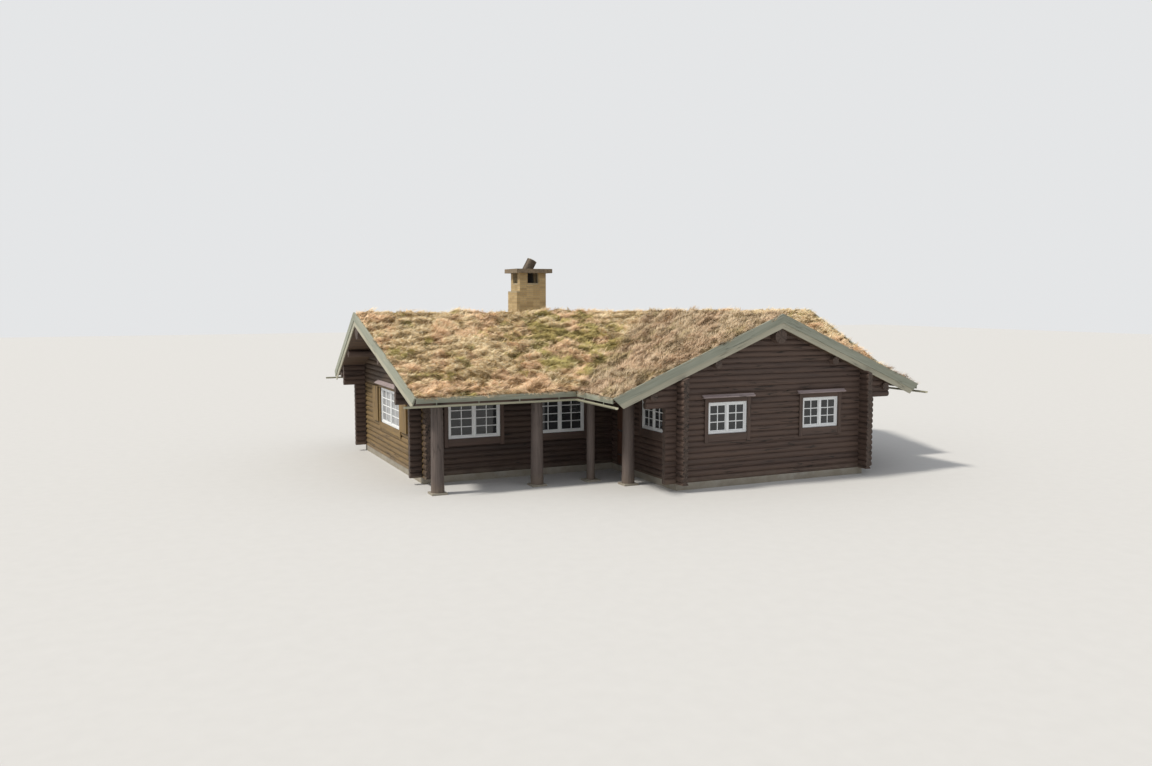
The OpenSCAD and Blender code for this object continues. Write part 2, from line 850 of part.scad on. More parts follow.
// Two folded leaves lie against the logs on each side of a window
module shutter_solid(w, h) {
    off = w / 2 + casing_w + shutter_off;
    for (x = [off, -off - shutter_w]) for (i = [1, 2])
        translate([x, -i * (shutter_t + seat), 0]) cube([shutter_w, shutter_t, h]);
}

// Every window of the house in place; the kind picks frame, glass, trim or shutters
module all_windows(kind) {
    for (w = porch_wins) translate([w[0], -half_dep, w[2]])
        window(kind, w[1], head_h - w[2]);
    for (w = wing_wins) translate([w[0], wing_y, w[2]]) window(kind, w[1], head_h - w[2]);
    for (w = rear_wins) translate([w[0], half_dep, w[2]]) rotate([0, 0, 180])
        window(kind, w[1], head_h - w[2]);
    gable_windows(kind);
    translate([wing_l, wing_side_win[0], wing_side_win[2]]) rotate([0, 0, -90])
        window(kind, wing_side_win[1], head_h - wing_side_win[2]);
    translate([wing_r, wing_side_win[0], wing_side_win[2]]) rotate([0, 0, 90])
        window(kind, wing_side_win[1], head_h - wing_side_win[2]);
}
module gable_windows(kind) {
    for (s = [-1, 1]) translate([s * half_len, gable_win[0], gable_win[2]])
        rotate([0, 0, s * 90]) window(kind, gable_win[1], head_h - gable_win[2]);
}
module window(kind, w, h) {
    if (kind == "frame") frame_solid(w, h);
    if (kind == "glass") glass_solid(w, h);
    if (kind == "trim") trim_solid(w, h);
    if (kind == "shutters") shutter_solid(w, h);
}

module window_frames() { color("white") all_windows("frame"); }
module window_glass() { color("lightblue") all_windows("glass"); }
module window_trim() { color("saddlebrown") all_windows("trim"); }
module window_shutters() { color("peru") gable_windows("shutters"); }

// The door stands in the wing's left wall, its frame a little proud of the logs
frame_x = wing_l - frame_proud;
leaf_x = frame_x;
leaf_w = door_w - 2 * jamb_t - 2 * leaf_gap;
leaf_h = door_h - jamb_t - sill_h - 2 * leaf_gap;
leaf_z = plinth_h + sill_h + leaf_gap;
hinge_y = door_y1 - jamb_t - leaf_gap / 2;
hinge_x = frame_x - hinge_d / 2 - barrel_off;
half_hinge = hinge_l / 2;
// heights of the hinges' middles, where the upper barrel rests on the lower one
hinge_zs = [leaf_z + hinge_in, leaf_z + leaf_h / 2, leaf_z + leaf_h - hinge_in];

module door_frame() {
    color("saddlebrown") {
        translate([frame_x, door_y0 + seat, plinth_h]) difference() {
            cube([jamb_d, door_w - 2 * seat, door_h - seat]);
            translate([-1, jamb_t - seat, sill_h])
                cube([jamb_d + 2, door_w - 2 * jamb_t, door_h - jamb_t - sill_h]);
        }
        // lower barrels, each with its pin and its plate on the jamb
        for (z = hinge_zs) translate([hinge_x, hinge_y, z - half_hinge]) {
            cylinder(d = hinge_d, h = half_hinge);
            cylinder(d = pin_d, h = 2 * half_hinge - barrel_off);
            translate([hinge_d / 2 - barrel_off, 0, 0])
                cube([3 * barrel_off, jamb_t - leaf_gap, half_hinge]);
        }
    }
}

module door_leaf() {
    color("maroon") {
        translate([leaf_x, door_y0 + jamb_t + leaf_gap, leaf_z])
            cube([leaf_t, leaf_w, leaf_h]);
        // upper barrels, each on a lug that stands on the leaf
        for (z = hinge_zs) translate([hinge_x, hinge_y, z + seat]) difference() {
            union() {
                cylinder(d = hinge_d, h = half_hinge);
                translate([0, -hinge_d / 2, 0])
                    cube([leaf_x - hinge_x + barrel_off, (hinge_d - leaf_gap) / 2,
                          half_hinge]);
            }
            translate([0, 0, -1]) cylinder(d = pin_d + pin_play, h = half_hinge + 2);
        }
    }
}

module door_handle() {
    z = plinth_h + handle_h;
    y = door_y0 + jamb_t + leaf_gap + handle_in;
    color("dimgray") {
        translate([leaf_x - handle_t - seat, y - plate_w / 2, z - plate_h * 0.4])
            cube([handle_t, plate_w, plate_h]);
        translate([leaf_x - lever_out, y, z]) rotate([0, 90, 0])
            cylinder(d = 2 * handle_t, h = lever_out - handle_t);
        translate([leaf_x - lever_out - handle_t, y - handle_t, z - handle_t])
            cube([1.5 * handle_t, lever_l, 2 * handle_t]);
    }
}

// Chimney: brick stack with a flue that leaves through outlets under the slab
module chimney_stack() {
    z_out = stack_h - outlet_h;
    color("darkkhaki") translate([stack_x, stack_back + stack_d / 2, 0]) difference() {
        union() {
            translate([-stack_w / 2, -stack_d / 2, 0]) cube([stack_w, stack_d, stack_h]);
            translate([-stack_w / 2 - shoulder_w, -stack_d / 2, 0])
                cube([shoulder_w, stack_d, ridge_h + shoulder_up]);
        }
        translate([-flue_w / 2, -flue_w / 2, z_out]) cube([flue_w, flue_w, outlet_h + 1]);
        translate([-flue_w / 2, -stack_d, z_out]) cube([flue_w, 2 * stack_d, outlet_h + 1]);
        translate([-stack_w, -flue_w / 2, z_out]) cube([2 * stack_w, flue_w, outlet_h + 1]);
    }
}

module chimney_slab() {
    color("tan") translate([stack_x - stack_w / 2 - slab_out,
                            stack_back - slab_out, stack_h])
        cube([stack_w + 2 * slab_out, stack_d + 2 * slab_out, slab_t]);
}

// A drum that leans along the ridge, cut level where it stands on the slab
module chimney_cowl() {
    color("dimgray")
        translate([stack_x - cowl_in, stack_back + stack_d / 2, stack_h + slab_t])
            difference() {
                rotate([0, cowl_lean, 0]) translate([0, 0, -cowl_d])
                    cylinder(d = cowl_d, h = cowl_h + cowl_d);
                translate([-2 * cowl_d, -cowl_d, -2 * cowl_d])
                    cube([4 * cowl_d, 2 * cowl_d, 2 * cowl_d]);
            }
}

plinth();
floor_slab();
floor_boards();
front_wall();
front_wall_right();
rear_wall();
left_gable_wall();
right_gable_wall();
wing_front_wall();
wing_left_wall();
wall_beside_door();
wall_over_door();
wing_right_wall();
post_pads();
porch_posts();
porch_beam();
main_ridge_log();
wing_ridge_log();
main_purlins();
wing_purlins();
wing_eave_purlins();
rear_eave_purlin();
deck_front_left();
deck_front_right();
deck_back();
deck_wing_left();
deck_wing_right();
turf_front_left();
turf_front_right();
turf_back();
turf_wing_left();
turf_wing_right();
barge_left();
barge_right();
barge_wing();
eave_boards();
gutters();
window_frames();
window_glass();
window_trim();
window_shutters();
door_frame();
door_leaf();
door_handle();
chimney_stack();
chimney_slab();
chimney_cowl();
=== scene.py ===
# Turf-roofed log house: finishes for the carried-over pieces, and the small pieces that
# are modelled here. Metres; X along the main ridge, -Y towards the viewer, Z up.
import bpy
import json
import math
import random
from mathutils import Matrix, Vector

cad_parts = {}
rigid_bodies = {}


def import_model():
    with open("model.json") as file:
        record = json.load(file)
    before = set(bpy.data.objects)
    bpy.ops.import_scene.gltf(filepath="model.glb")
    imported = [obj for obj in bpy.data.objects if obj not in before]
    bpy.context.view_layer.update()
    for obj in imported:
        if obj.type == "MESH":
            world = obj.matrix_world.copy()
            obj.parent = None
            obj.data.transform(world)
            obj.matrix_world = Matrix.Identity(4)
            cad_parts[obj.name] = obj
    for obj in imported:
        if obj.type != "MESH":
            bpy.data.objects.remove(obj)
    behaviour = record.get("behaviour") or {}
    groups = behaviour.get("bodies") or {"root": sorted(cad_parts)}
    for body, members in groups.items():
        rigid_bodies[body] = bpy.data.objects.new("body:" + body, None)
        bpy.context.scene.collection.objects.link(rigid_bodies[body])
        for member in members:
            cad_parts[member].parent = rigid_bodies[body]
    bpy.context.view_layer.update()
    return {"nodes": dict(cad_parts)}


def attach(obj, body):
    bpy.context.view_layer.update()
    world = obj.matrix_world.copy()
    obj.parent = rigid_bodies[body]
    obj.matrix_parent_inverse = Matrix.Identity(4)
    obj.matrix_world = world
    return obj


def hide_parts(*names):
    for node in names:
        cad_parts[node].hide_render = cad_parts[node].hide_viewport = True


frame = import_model()

# Roof and walls
PITCH = math.radians(22.6)
RISE = math.tan(PITCH)
ROOF_RUN = 5.32
RIDGE_TOP = 4.89
EAVE_TOP = RIDGE_TOP - ROOF_RUN * RISE
BARGE_CAP = 0.25
GUTTER_RIM = 2.468
WING_X = 1.71
LOG_COURSE = 0.165
FIRST_LOG_X = 0.2702
FIRST_LOG_Y = FIRST_LOG_X - LOG_COURSE / 2
MAIN_END_Y = 3.62

# Windows
HEAD = 2.415
TALL_SILL = 1.26
LOW_SILL = 1.525
GABLE_X = 7.7
FRAME_BACK = 0.02
FRAME_W = 0.062
SASH_IN = 0.018
SASH_W = 0.032
SASH_T = 0.04
BAR_W = 0.026
BAR_T = 0.03
BAR_IN = 0.004
PLAY = 0.002
CASING_W = 0.12
CASING_T = 0.028
CASING_DROP = 0.24
DRIP_UP = 0.13
DRIP_SIDE = 0.09
DRIP_T = 0.032
DRIP_TILT = -1.05
SHUTTER_W = 0.7
SHUTTER_OFF = 0.08
SHUTTER_FACE = 0.0546
SHUTTER_BOARDS = 5

# Door: the leaf's outer face in X, its boarded part in Y, and its ends in Z
DOOR_X = -1.6
DOOR_Y = (-4.833, -4.003)
DOOR_Z = (0.248, 2.257)
STRAP_X = -1.606
STRAP_END = -4.55
STRAP_IN = 0.26
STRAP_BOLTS = (-4.5, -4.35, -4.2, -4.06)
BOLT_R = 0.009
DOOR_BOARDS = 6

# Chimney: the stack as X and Y from and to, its shoulder, and the flue that ends in a
# smoke chamber with outlets
STACK = (-3.125, -2.175, 0.27, 1.09)
STACK_TOP = 6.175
SHOULDER_X = -3.235
SHOULDER_TOP = 5.56
FLUE = (-2.65, 0.68)
OUTLET_FOOT = 5.835
OUTLET_HALF = 0.195
LINER_R = 0.15
LINER_H = 0.3385
COWL_FOOT = (-2.675, 0.68, 6.315)
COWL_LEAN = math.radians(29.0)
RIM_UP = 0.336
RIM_RING = 0.166
RIM_ROLL = 0.011
BRICK_L = 0.228
BRICK_H = 0.054
JOINT = 0.012
BRICK_PROUD = 0.004
BRICK_DEEP = 0.02
BRICK_LEAST = 0.03

# Relief of the turf: clumps longer along X than along Y
TUSSOCK_STRETCH = (0.75, 1.25, 1.25)
TUSSOCK_NOISE = {"Scale": 3.2, "Detail": 3.0, "Roughness": 0.5, "Distortion": 0.5}
TUSSOCK_MIDDLE = 0.47
TUSSOCK_HEIGHT = 0.48
MAT_CELL = 0.09
MOSS_AT = (-2.3, -2.6, 0.0)
# each slope: tufts on a square metre, the heading of its lodged grass turned from X, and
# the way down the slope in plan
SLOPES = {"front_left": (140.0, -1.0, (0, -1)), "front_right": (95.0, -1.2, (0, -1)),
          "back": (62.0, 0.9, (0, 1)), "wing_left": (140.0, -0.8, (-1, 0)),
          "wing_right": (95.0, -0.5, (1, 0))}
# how far gusts swing the heading, and how far single tufts stray from it
GUST = 3.2
STRAY = 0.55
TUFT_R = 0.07
FRINGE_STEP = 0.075

# Colours of woods and stains, each as a dark and a light tone
LOG_STAIN = ((58, 44, 39), (92, 74, 64))
# painted shade: the porch walls are darker, for the shade under the porch roof
PORCH_LOGS_PAINTED_SHADE = ((44, 33, 29), (70, 55, 47))
# the left gable's logs: a paler ochre, partly a bleached stain and partly painted sunlight
BLEACHED_LOGS_PAINTED_SUN = ((82, 65, 38), (132, 108, 66))
# painted shade for the left gable's upper courses and its crossed corner ends
PAINTED_SHADE_LOGS = ((40, 30, 27), (68, 54, 46))
ROOF_LOG_STAIN = ((70, 55, 48), (104, 86, 76))
POST_STAIN = ((70, 61, 57), (104, 93, 87))
SOFFIT = ((74, 58, 46), (112, 90, 70))
TRIM_STAIN = ((62, 48, 42), (96, 78, 68))
# ochre of the shutters and the left gable's casings: partly ochre stain, partly painted sunlight
OCHRE_PAINTED_SUN = ((96, 76, 44), (146, 120, 76))
GREEN_STAIN = ((128, 132, 116), (162, 164, 148))


# Camera, light, stage
def make_camera():
    data = bpy.data.cameras.new("view")
    data.sensor_fit = "HORIZONTAL"
    data.sensor_width = 36.0
    data.lens = 30.626
    data.clip_end = 300.0
    camera = bpy.data.objects.new("view", data)
    camera.location = (-15.41242, -30.65062, 5.35829)
    camera.rotation_euler = (math.pi / 2 - 0.0873, 0.0, -0.4352)
    bpy.context.scene.collection.objects.link(camera)
    bpy.context.scene.camera = camera


def make_light():
    """A soft sun from the left, and a world that is brighter where it is seen."""
    sun = bpy.data.lights.new("key_light", "SUN")
    sun.energy = 3.0
    sun.angle = math.radians(7.0)
    sun.color = (1.0, 0.95, 0.87)
    lamp = bpy.data.objects.new("key_light", sun)
    lamp.rotation_euler = Vector((-0.56, 0.06, 0.75)).to_track_quat("Z", "Y").to_euler()
    bpy.context.scene.collection.objects.link(lamp)
    world = bpy.data.worlds.new("studio")
    bpy.context.scene.world = world
    world.use_nodes = True
    net = Net(world.node_tree)
    soft = world.node_tree.nodes["Background"]
    soft.inputs["Color"].default_value = (0.93, 0.95, 1.0, 1.0)
    soft.inputs["Strength"].default_value = 0.66
    paper = net.put("ShaderNodeBackground")
    paper.inputs["Color"].default_value = (0.78, 0.79, 0.80, 1.0)
    path = net.put("ShaderNodeLightPath").outputs
    seen = net.math("MAXIMUM", path["Is Camera Ray"],
                    net.math("MAXIMUM", path["Is Glossy Ray"], path["Is Transmission Ray"]))
    either = net.put("ShaderNodeMixShader", {0: seen, 1: soft.outputs[0], 2: paper.outputs[0]})
    net.feed(world.node_tree.nodes["World Output"].inputs["Surface"], either.outputs[0])
    bpy.context.scene.view_settings.view_transform = "Standard"


# Node helpers
def srgb(r, g, b):
    """Linear colour of a written 0-255 colour."""
    def one(v):
        v = v / 255.0
        return v / 12.92 if v <= 0.04045 else ((v + 0.055) / 1.055) ** 2.4
    return (one(r), one(g), one(b), 1.0)


class Net:
    """Places nodes in one tree and joins them. Colours are written as three 0-255 values."""
    def __init__(self, tree):
        self.tree = tree

    def feed(self, socket, value):
        """Join a socket to the one that feeds it, or set its value."""
        if isinstance(value, bpy.types.NodeSocket):
            self.tree.links.new(value, socket)
        else:
            socket.default_value = srgb(*value) if socket.type == "RGBA" else value

    def put(self, kind, values=None, **settings):
        """A node with its settings, and its inputs fed by place or by name."""
        made = self.tree.nodes.new(kind)
        for key, value in settings.items():
            setattr(made, key, value)
        for key, value in (values or {}).items():
            self.feed(made.inputs[key], value)
        return made

    def math(self, task, a, b=0.0, c=0.0):
        return self.put("ShaderNodeMath", {0: a, 1: b, 2: c}, operation=task).outputs[0]

    def scaled(self, a, by, plus=0.0):
        return self.math("MULTIPLY_ADD", a, by, plus)

    def less(self, a, b):
        return self.math("SUBTRACT", a, b)

    def flip(self, a):
        return self.less(1.0, a)

    def away(self, a, b=0.0):
        """How far one value is from another."""
        return self.math("ABSOLUTE", self.less(a, b))

    def band(self, value, low, high):
        """0 below low, 1 above high, smooth between."""
        return self.put("ShaderNodeMapRange", {"Value": value, "From Min": low, "From Max": high},
                        interpolation_type="SMOOTHSTEP").outputs["Result"]

    def noise(self, point, scale, detail=3.0, rough=0.55, seed=None):
        values = {"Vector": point, "Scale": scale, "Detail": detail, "Roughness": rough}
        if seed is None:
            return self.put("ShaderNodeTexNoise", values).outputs["Fac"]
        values["W"] = seed
        return self.put("ShaderNodeTexNoise", values, noise_dimensions="4D").outputs["Fac"]

    def draw(self, seed):
        """A random value for each seed."""
        return self.put("ShaderNodeTexWhiteNoise", {"W": seed},
                        noise_dimensions="1D").outputs["Value"]

    def stretch(self, point, by):
        return self.put("ShaderNodeVectorMath", {0: point, 1: by},
                        operation="MULTIPLY").outputs[0]

    def split(self, point):
        return self.put("ShaderNodeSeparateXYZ", {0: point}).outputs

    def combine(self, x, y, z):
        return self.put("ShaderNodeCombineXYZ", {0: x, 1: y, 2: z}).outputs[0]

    def mix(self, share, a, b):
        return self.put("ShaderNodeMix", {"Factor": share, "A": a, "B": b},
                        data_type="RGBA").outputs["Result"]

    def tint(self, base, mask, share, colour):
        """Base with a share of a colour where the mask is 1."""
        return self.mix(self.scaled(mask, share), base, colour)

    def call(self, group, **values):
        return self.put("ShaderNodeGroup", values, node_tree=group).outputs


def new_group(name, inputs, outputs, kind="ShaderNodeTree"):
    """A node group: its net, what it is given, and what it puts out."""
    tree = bpy.data.node_groups.new(name, kind)
    for way, sockets in (("INPUT", inputs), ("OUTPUT", outputs)):
        for label, sort in sockets.items():
            tree.interface.new_socket(label, in_out=way, socket_type="NodeSocket" + sort)
    net = Net(tree)
    return net, net.put("NodeGroupInput").outputs, net.put("NodeGroupOutput").inputs


def make_grain_figure():
    """Wood grain along the point's X: streaks, drying checks, and a height for bump."""
    net, given, out = new_group("grain_figure", {"Point": "Vector", "Seed": "Float"},
                                {"Streak": "Float", "Check": "Float", "Height": "Float"})
    point, seed = given["Point"], given["Seed"]
    fine = net.noise(net.stretch(point, (1.1, 26.0, 26.0)), 1.6, 4.0, 0.62, seed)
    broad = net.noise(net.stretch(point, (0.5, 5.0, 5.0)), 1.3, 2.0, 0.5, seed)
    streak = net.scaled(fine, 0.6, net.scaled(broad, 0.4))
    line = net.noise(net.stretch(point, (0.55, 11.0, 11.0)), 1.1, 2.0, 0.45,
                     net.math("ADD", seed, 4.7))
    thin = net.flip(net.band(net.away(line, 0.5), 0.006, 0.02))
    where = net.band(net.noise(point, 0.9, 1.0, 0.5, seed), 0.46, 0.6)
    check = net.scaled(thin, where)
    net.feed(out["Streak"], net.band(streak, 0.3, 0.7))
    net.feed(out["Check"], check)
    net.feed(out["Height"], net.scaled(check, -1.0, net.scaled(streak, 0.35)))
    return net.tree


def make_end_figure():
    """End grain of a log around its heart: growth rings and radial splits."""
    net, given, out = new_group("end_figure",
                                {"Across": "Float", "Up": "Float", "Seed": "Float"},
                                {"Rings": "Float", "Split": "Float"})
    across, up, seed = given["Across"], given["Up"], given["Seed"]
    wobble = net.noise(net.combine(across, up, 0.0), 9.0, 2.0, 0.5, seed)
    radius = net.math("SQRT", net.scaled(across, across, net.scaled(up, up)))
    turn = net.scaled(radius, 760.0, net.scaled(wobble, 14.0))
    net.feed(out["Rings"], net.scaled(net.math("SINE", turn), 0.5, 0.5))
    safe = net.math("MAXIMUM", radius, 0.004)
    way = net.combine(net.math("DIVIDE", across, safe), net.math("DIVIDE", up, safe), 0.0)
    ray = net.noise(way, 1.9, 2.0, 0.6, seed)
    net.feed(out["Split"], net.flip(net.band(net.away(ray, 0.5), 0.008, 0.03)))
    return net.tree


def make_ground_wear():
    """Dust and splashes: 1 near the ground, broken up, 0 above half a metre."""
    net, given, out = new_group("ground_wear", {"Point": "Vector"}, {"Mask": "Float"})
    point = given["Point"]
    ragged = net.scaled(net.noise(point, 3.2, 4.0), 0.55, net.split(point)[2])
    net.feed(out["Mask"], net.flip(net.band(ragged, 0.3, 0.75)))
    return net.tree


GRAIN = make_grain_figure()
ENDS = make_end_figure()
WEAR = make_ground_wear()


class Finish(Net):
    """The net of a new material. Its point is the place on the piece, in metres."""
    def __init__(self, name):
        self.material = bpy.data.materials.new(name)
        self.material.use_nodes = True
        super().__init__(self.material.node_tree)
        self.shader = self.tree.nodes["Principled BSDF"]
        self.coords = self.put("ShaderNodeTexCoord").outputs
        self.point = self.coords["Object"]

    def facing(self, axis):
        """How far a surface faces along an axis, 0 to 1."""
        return self.away(self.split(self.coords["Normal"])[axis])

    def grain(self, point, seed=0.0):
        return self.call(GRAIN, Point=point, Seed=seed)

    def wear(self):
        return self.call(WEAR, Point=self.point)["Mask"]

    def done(self, base, rough, height=None, depth=0.0, **more):
        """The finished material. height and depth give its bump; more: other inputs of
        the shader, with _ for a space."""
        if height is not None:
            relief = self.put("ShaderNodeBump", {"Distance": depth, "Height": height})
            self.feed(self.shader.inputs["Normal"], relief.outputs["Normal"])
        self.feed(self.shader.inputs["Base Color"], base)
        self.feed(self.shader.inputs["Roughness"], rough)
        for key, value in more.items():
            self.feed(self.shader.inputs[key.replace("_", " ")], value)
        return self.material


# Materials
def log_material(name, along, heart, up_from, tones, fold=None, course=True, checks=0.8,
                 painted_shade_tones=None):
    """Stained round logs. along: 0 for logs along X, 1 along Y, 2 upright. heart: place of
    the log's axis across; fold: the middle of a pair of logs set apart by heart.
    painted_shade_tones:
    two darker tones of painted shade on the left gable's paler logs, where the roof's overhang
    and the crossed corner logs shade them."""
    net = Finish(name)
    x, y, z = net.split(net.point)
    run, side, up = ((x, y, z), (y, x, z), (z, x, y))[along]
    across = net.less(side if fold is None else net.away(side, fold), heart)
    up = net.less(up, up_from)
    if course:
        number = net.math("FLOOR", net.math("DIVIDE", up, LOG_COURSE))
        up = net.less(up, net.scaled(net.math("ADD", number, 0.5), LOG_COURSE))
        seed = net.scaled(number, 3.71, heart * 5.3)
    else:
        seed = net.scaled(net.math("SIGN", side), 3.1, heart * 5.3)
    figure = net.grain(net.combine(run, across, up), seed)
    streak = figure["Streak"]
    base = net.mix(streak, *tones)
    # painted shade: darker tones on the upper courses, under the roof's overhang, and on the
    # crossed ends past the front and rear walls
    if painted_shade_tones:
        high = net.scaled(net.noise(net.point, 1.5), 0.5, z)
        past = net.band(net.away(y), MAIN_END_Y, MAIN_END_Y + 0.08)
        painted_shade_mask = net.math("MAXIMUM", net.band(high, 2.55, 2.8), past)
        base = net.mix(painted_shade_mask, base, net.mix(streak, *painted_shade_tones))
    base = net.tint(base, net.draw(seed), 0.35, net.mix(0.5, tones[1], (105, 85, 72)))
    base = net.tint(base, net.wear(), 0.45, (122, 108, 92))
    base = net.tint(base, figure["Check"], checks, (20, 15, 13))
    end = net.band(net.facing(along), 0.75, 0.92)
    ends = net.call(ENDS, Across=across, Up=up, Seed=seed)
    cut = net.mix(ends["Rings"], (66, 52, 45), (98, 82, 71))
    base = net.mix(end, base, net.mix(ends["Split"], cut, (24, 18, 15)))
    carve = net.scaled(ends["Split"], net.scaled(end, -1.0), figure["Height"])
    return net.done(base, net.scaled(streak, 0.2, 0.62), carve, 0.008)


def board_material(name, along, tones, groove=0.0, groove_axis=1):
    """Sawn boards with grain along an axis; groove: width of one board where the boards
    are drawn by their joints."""
    net = Finish(name)
    parts = net.split(net.point)
    order = ((0, 1, 2), (1, 0, 2), (2, 0, 1))[along]
    seed = 0.0
    if groove:
        place = net.math("DIVIDE", parts[groove_axis], groove)
        seed = net.scaled(net.math("FLOOR", place), 2.37)
        share = net.away(net.math("FRACT", place), 0.5)
        gap = net.band(share, 0.5 - 0.006 / groove, 0.5 - 0.002 / groove)
    figure = net.grain(net.combine(*[parts[i] for i in order]), seed)
    streak, height = figure["Streak"], figure["Height"]
    base = net.mix(streak, *tones)
    if groove:
        base = net.tint(base, net.draw(seed), 0.4, tones[0])
    base = net.tint(base, figure["Check"], 0.8, (30, 26, 22))
    if groove:
        base = net.mix(gap, base, (18, 14, 12))
        height = net.scaled(gap, -1.5, height)
    return net.done(base, net.scaled(streak, 0.2, 0.6), height, 0.004)


def stain_material(name, ridge_axis):
    """Weathered grey-green stain. ridge_axis: 0 or 1 for barge boards that slope across
    that axis from their ridge, None for level boards."""
    net = Finish(name)
    x, y, depth = net.split(net.point)
    low = 0.0
    if ridge_axis is None:
        run = net.put("ShaderNodeMix", {"Factor": net.band(net.facing(0), 0.6, 0.8),
                                        "A": x, "B": y}, data_type="FLOAT").outputs["Result"]
    else:
        # the inner board shows under the outer one in a paler tone
        run = net.less(x, WING_X) if ridge_axis == 0 else y
        depth = net.scaled(net.away(run), RISE, depth)
        edge = RIDGE_TOP - BARGE_CAP
        low = net.flip(net.band(depth, edge - 0.006, edge))
    figure = net.grain(net.combine(run, depth, 0.0))
    streak = figure["Streak"]
    base = net.mix(streak, *GREEN_STAIN)
    base = net.mix(low, base, net.mix(streak, (156, 153, 134), (182, 178, 158)))
    base = net.tint(base, figure["Check"], 0.5, (66, 68, 58))
    return net.done(base, net.scaled(streak, 0.15, 0.6), figure["Height"], 0.003)


def plain_material(name, tones, rough, size, grain=0.004, metal=0.0, chamber=False):
    """Painted, cast or metal surfaces: a fine mottle and a light bump. chamber: whether
    the walls of the smoke chamber are sooty."""
    net = Finish(name)
    mottle = net.noise(net.point, 1.0 / size, 6.0, 0.65)
    base = net.mix(net.band(mottle, 0.3, 0.7), *tones)
    if chamber:
        x, y, z = net.split(net.point)
        off = net.math("MAXIMUM", net.away(x, FLUE[0]), net.away(y, FLUE[1]))
        soot = net.scaled(net.band(off, OUTLET_HALF + 0.16, OUTLET_HALF + 0.01),
                          net.band(z, OUTLET_FOOT - 0.02, OUTLET_FOOT - 0.01))
        base = net.mix(soot, base, (30, 24, 21))
    return net.done(base, net.scaled(mottle, 0.2, rough), mottle, grain, Metallic=metal)


def gutter_material():
    """Sun-bleached gutter, with straps painted like the eave boards above its rim."""
    net = Finish("gutter_plastic")
    mottle = net.noise(net.stretch(net.point, (4.0, 4.0, 1.5)), 3.0, 5.0, 0.6)
    base = net.mix(mottle, (146, 145, 124), (172, 170, 148))
    strap = net.band(net.split(net.point)[2], GUTTER_RIM, GUTTER_RIM + 0.008)
    base = net.mix(strap, base, net.mix(mottle, *GREEN_STAIN))
    return net.done(base, net.scaled(mottle, 0.2, 0.4), mottle, 0.001)


def concrete_material():
    """Cast concrete with pores, and earth stains near the ground."""
    net = Finish("concrete")
    fine = net.noise(net.point, 60.0, 3.0, 0.6)
    pores = net.put("ShaderNodeTexVoronoi", {"Vector": net.point, "Scale": 55.0})
    hole = net.flip(net.band(pores.outputs["Distance"], 0.12, 0.24))
    broad = net.band(net.noise(net.point, 2.2, 5.0, 0.6), 0.3, 0.7)
    base = net.mix(broad, (150, 146, 138), (186, 182, 172))
    base = net.tint(base, fine, 0.25, (120, 116, 108))
    base = net.tint(base, net.wear(), 0.5, (128, 116, 92))
    base = net.tint(base, hole, 0.6, (92, 88, 80))
    return net.done(base, net.scaled(fine, 0.15, 0.8), net.scaled(hole, -1.0, fine), 0.004)


def tussock_field(net, point):
    """The relief of the turf's tussocks, the same in its colour as in its shape."""
    values = {"Vector": net.stretch(point, TUSSOCK_STRETCH), **TUSSOCK_NOISE}
    return net.put("ShaderNodeTexNoise", values).outputs["Fac"]


def turf_colour(net, fine):
    """Straw with painted highlight on the tussocks and painted shade in the hollows, faded pink
    tufts, moss on the damp middle of the porch side, and painted shade that makes the grass on
    the wing darker and greyer."""
    x, y, _ = net.split(net.point)
    # painted highlight on the tussocks' crests and painted shade in their hollows; the straw,
    # pink tufts, moss and the wing's grass all follow it
    crest_painted_light = net.band(tussock_field(net, net.point), 0.38, 0.54)
    base = net.mix(crest_painted_light, net.mix(fine, (112, 92, 54), (190, 160, 108)),
                   net.mix(fine, (224, 194, 144), (255, 244, 212)))
    pink = net.band(net.noise(net.point, 0.9, 3.0, 0.6), 0.46, 0.58)
    base = net.tint(base, pink, 0.45, net.mix(crest_painted_light, (158, 116, 84), (252, 208, 170)))
    off = net.put("ShaderNodeVectorMath", {0: net.combine(x, y, 0.0), 1: MOSS_AT},
                  operation="DISTANCE").outputs["Value"]
    damp = net.scaled(net.band(off, 3.4, 1.2), 0.12, net.noise(net.point, 1.3, 4.0, 0.65))
    base = net.tint(base, net.band(damp, 0.56, 0.66), 0.75,
                    net.mix(crest_painted_light, (92, 90, 36), (186, 174, 92)))
    # painted shade: the grass on the wing's slopes is darker and greyer
    wing = net.band(net.less(net.scaled(y, -1.0), net.away(x, WING_X)), -0.15, 0.15)
    return net.tint(base, wing, 0.6, net.mix(crest_painted_light, (92, 76, 56), (186, 164, 140)))


def mat_material():
    net = Finish("turf_mat")
    thatch = net.noise(net.stretch(net.point, (14.0, 30.0, 30.0)), 1.0, 5.0, 0.7)
    base = turf_colour(net, net.band(thatch, 0.35, 0.75))
    base = net.mix(0.15, base, (90, 76, 52))
    side = net.band(net.facing(2), 0.4, 0.15)
    base = net.mix(side, base, net.mix(thatch, (52, 42, 30), (96, 80, 56)))
    return net.done(base, 0.95, thatch, 0.03)


def blade_material():
    net = Finish("turf_blades")
    fine = net.noise(net.point, 12.0, 4.0, 0.7)
    base = turf_colour(net, net.band(fine, 0.38, 0.62))
    root = net.flip(net.band(net.split(net.coords["UV"])[1], 0.0, 0.5))
    base = net.tint(base, root, 0.3, (110, 90, 58))
    return net.done(base, 0.8, Specular_IOR_Level=0.3)


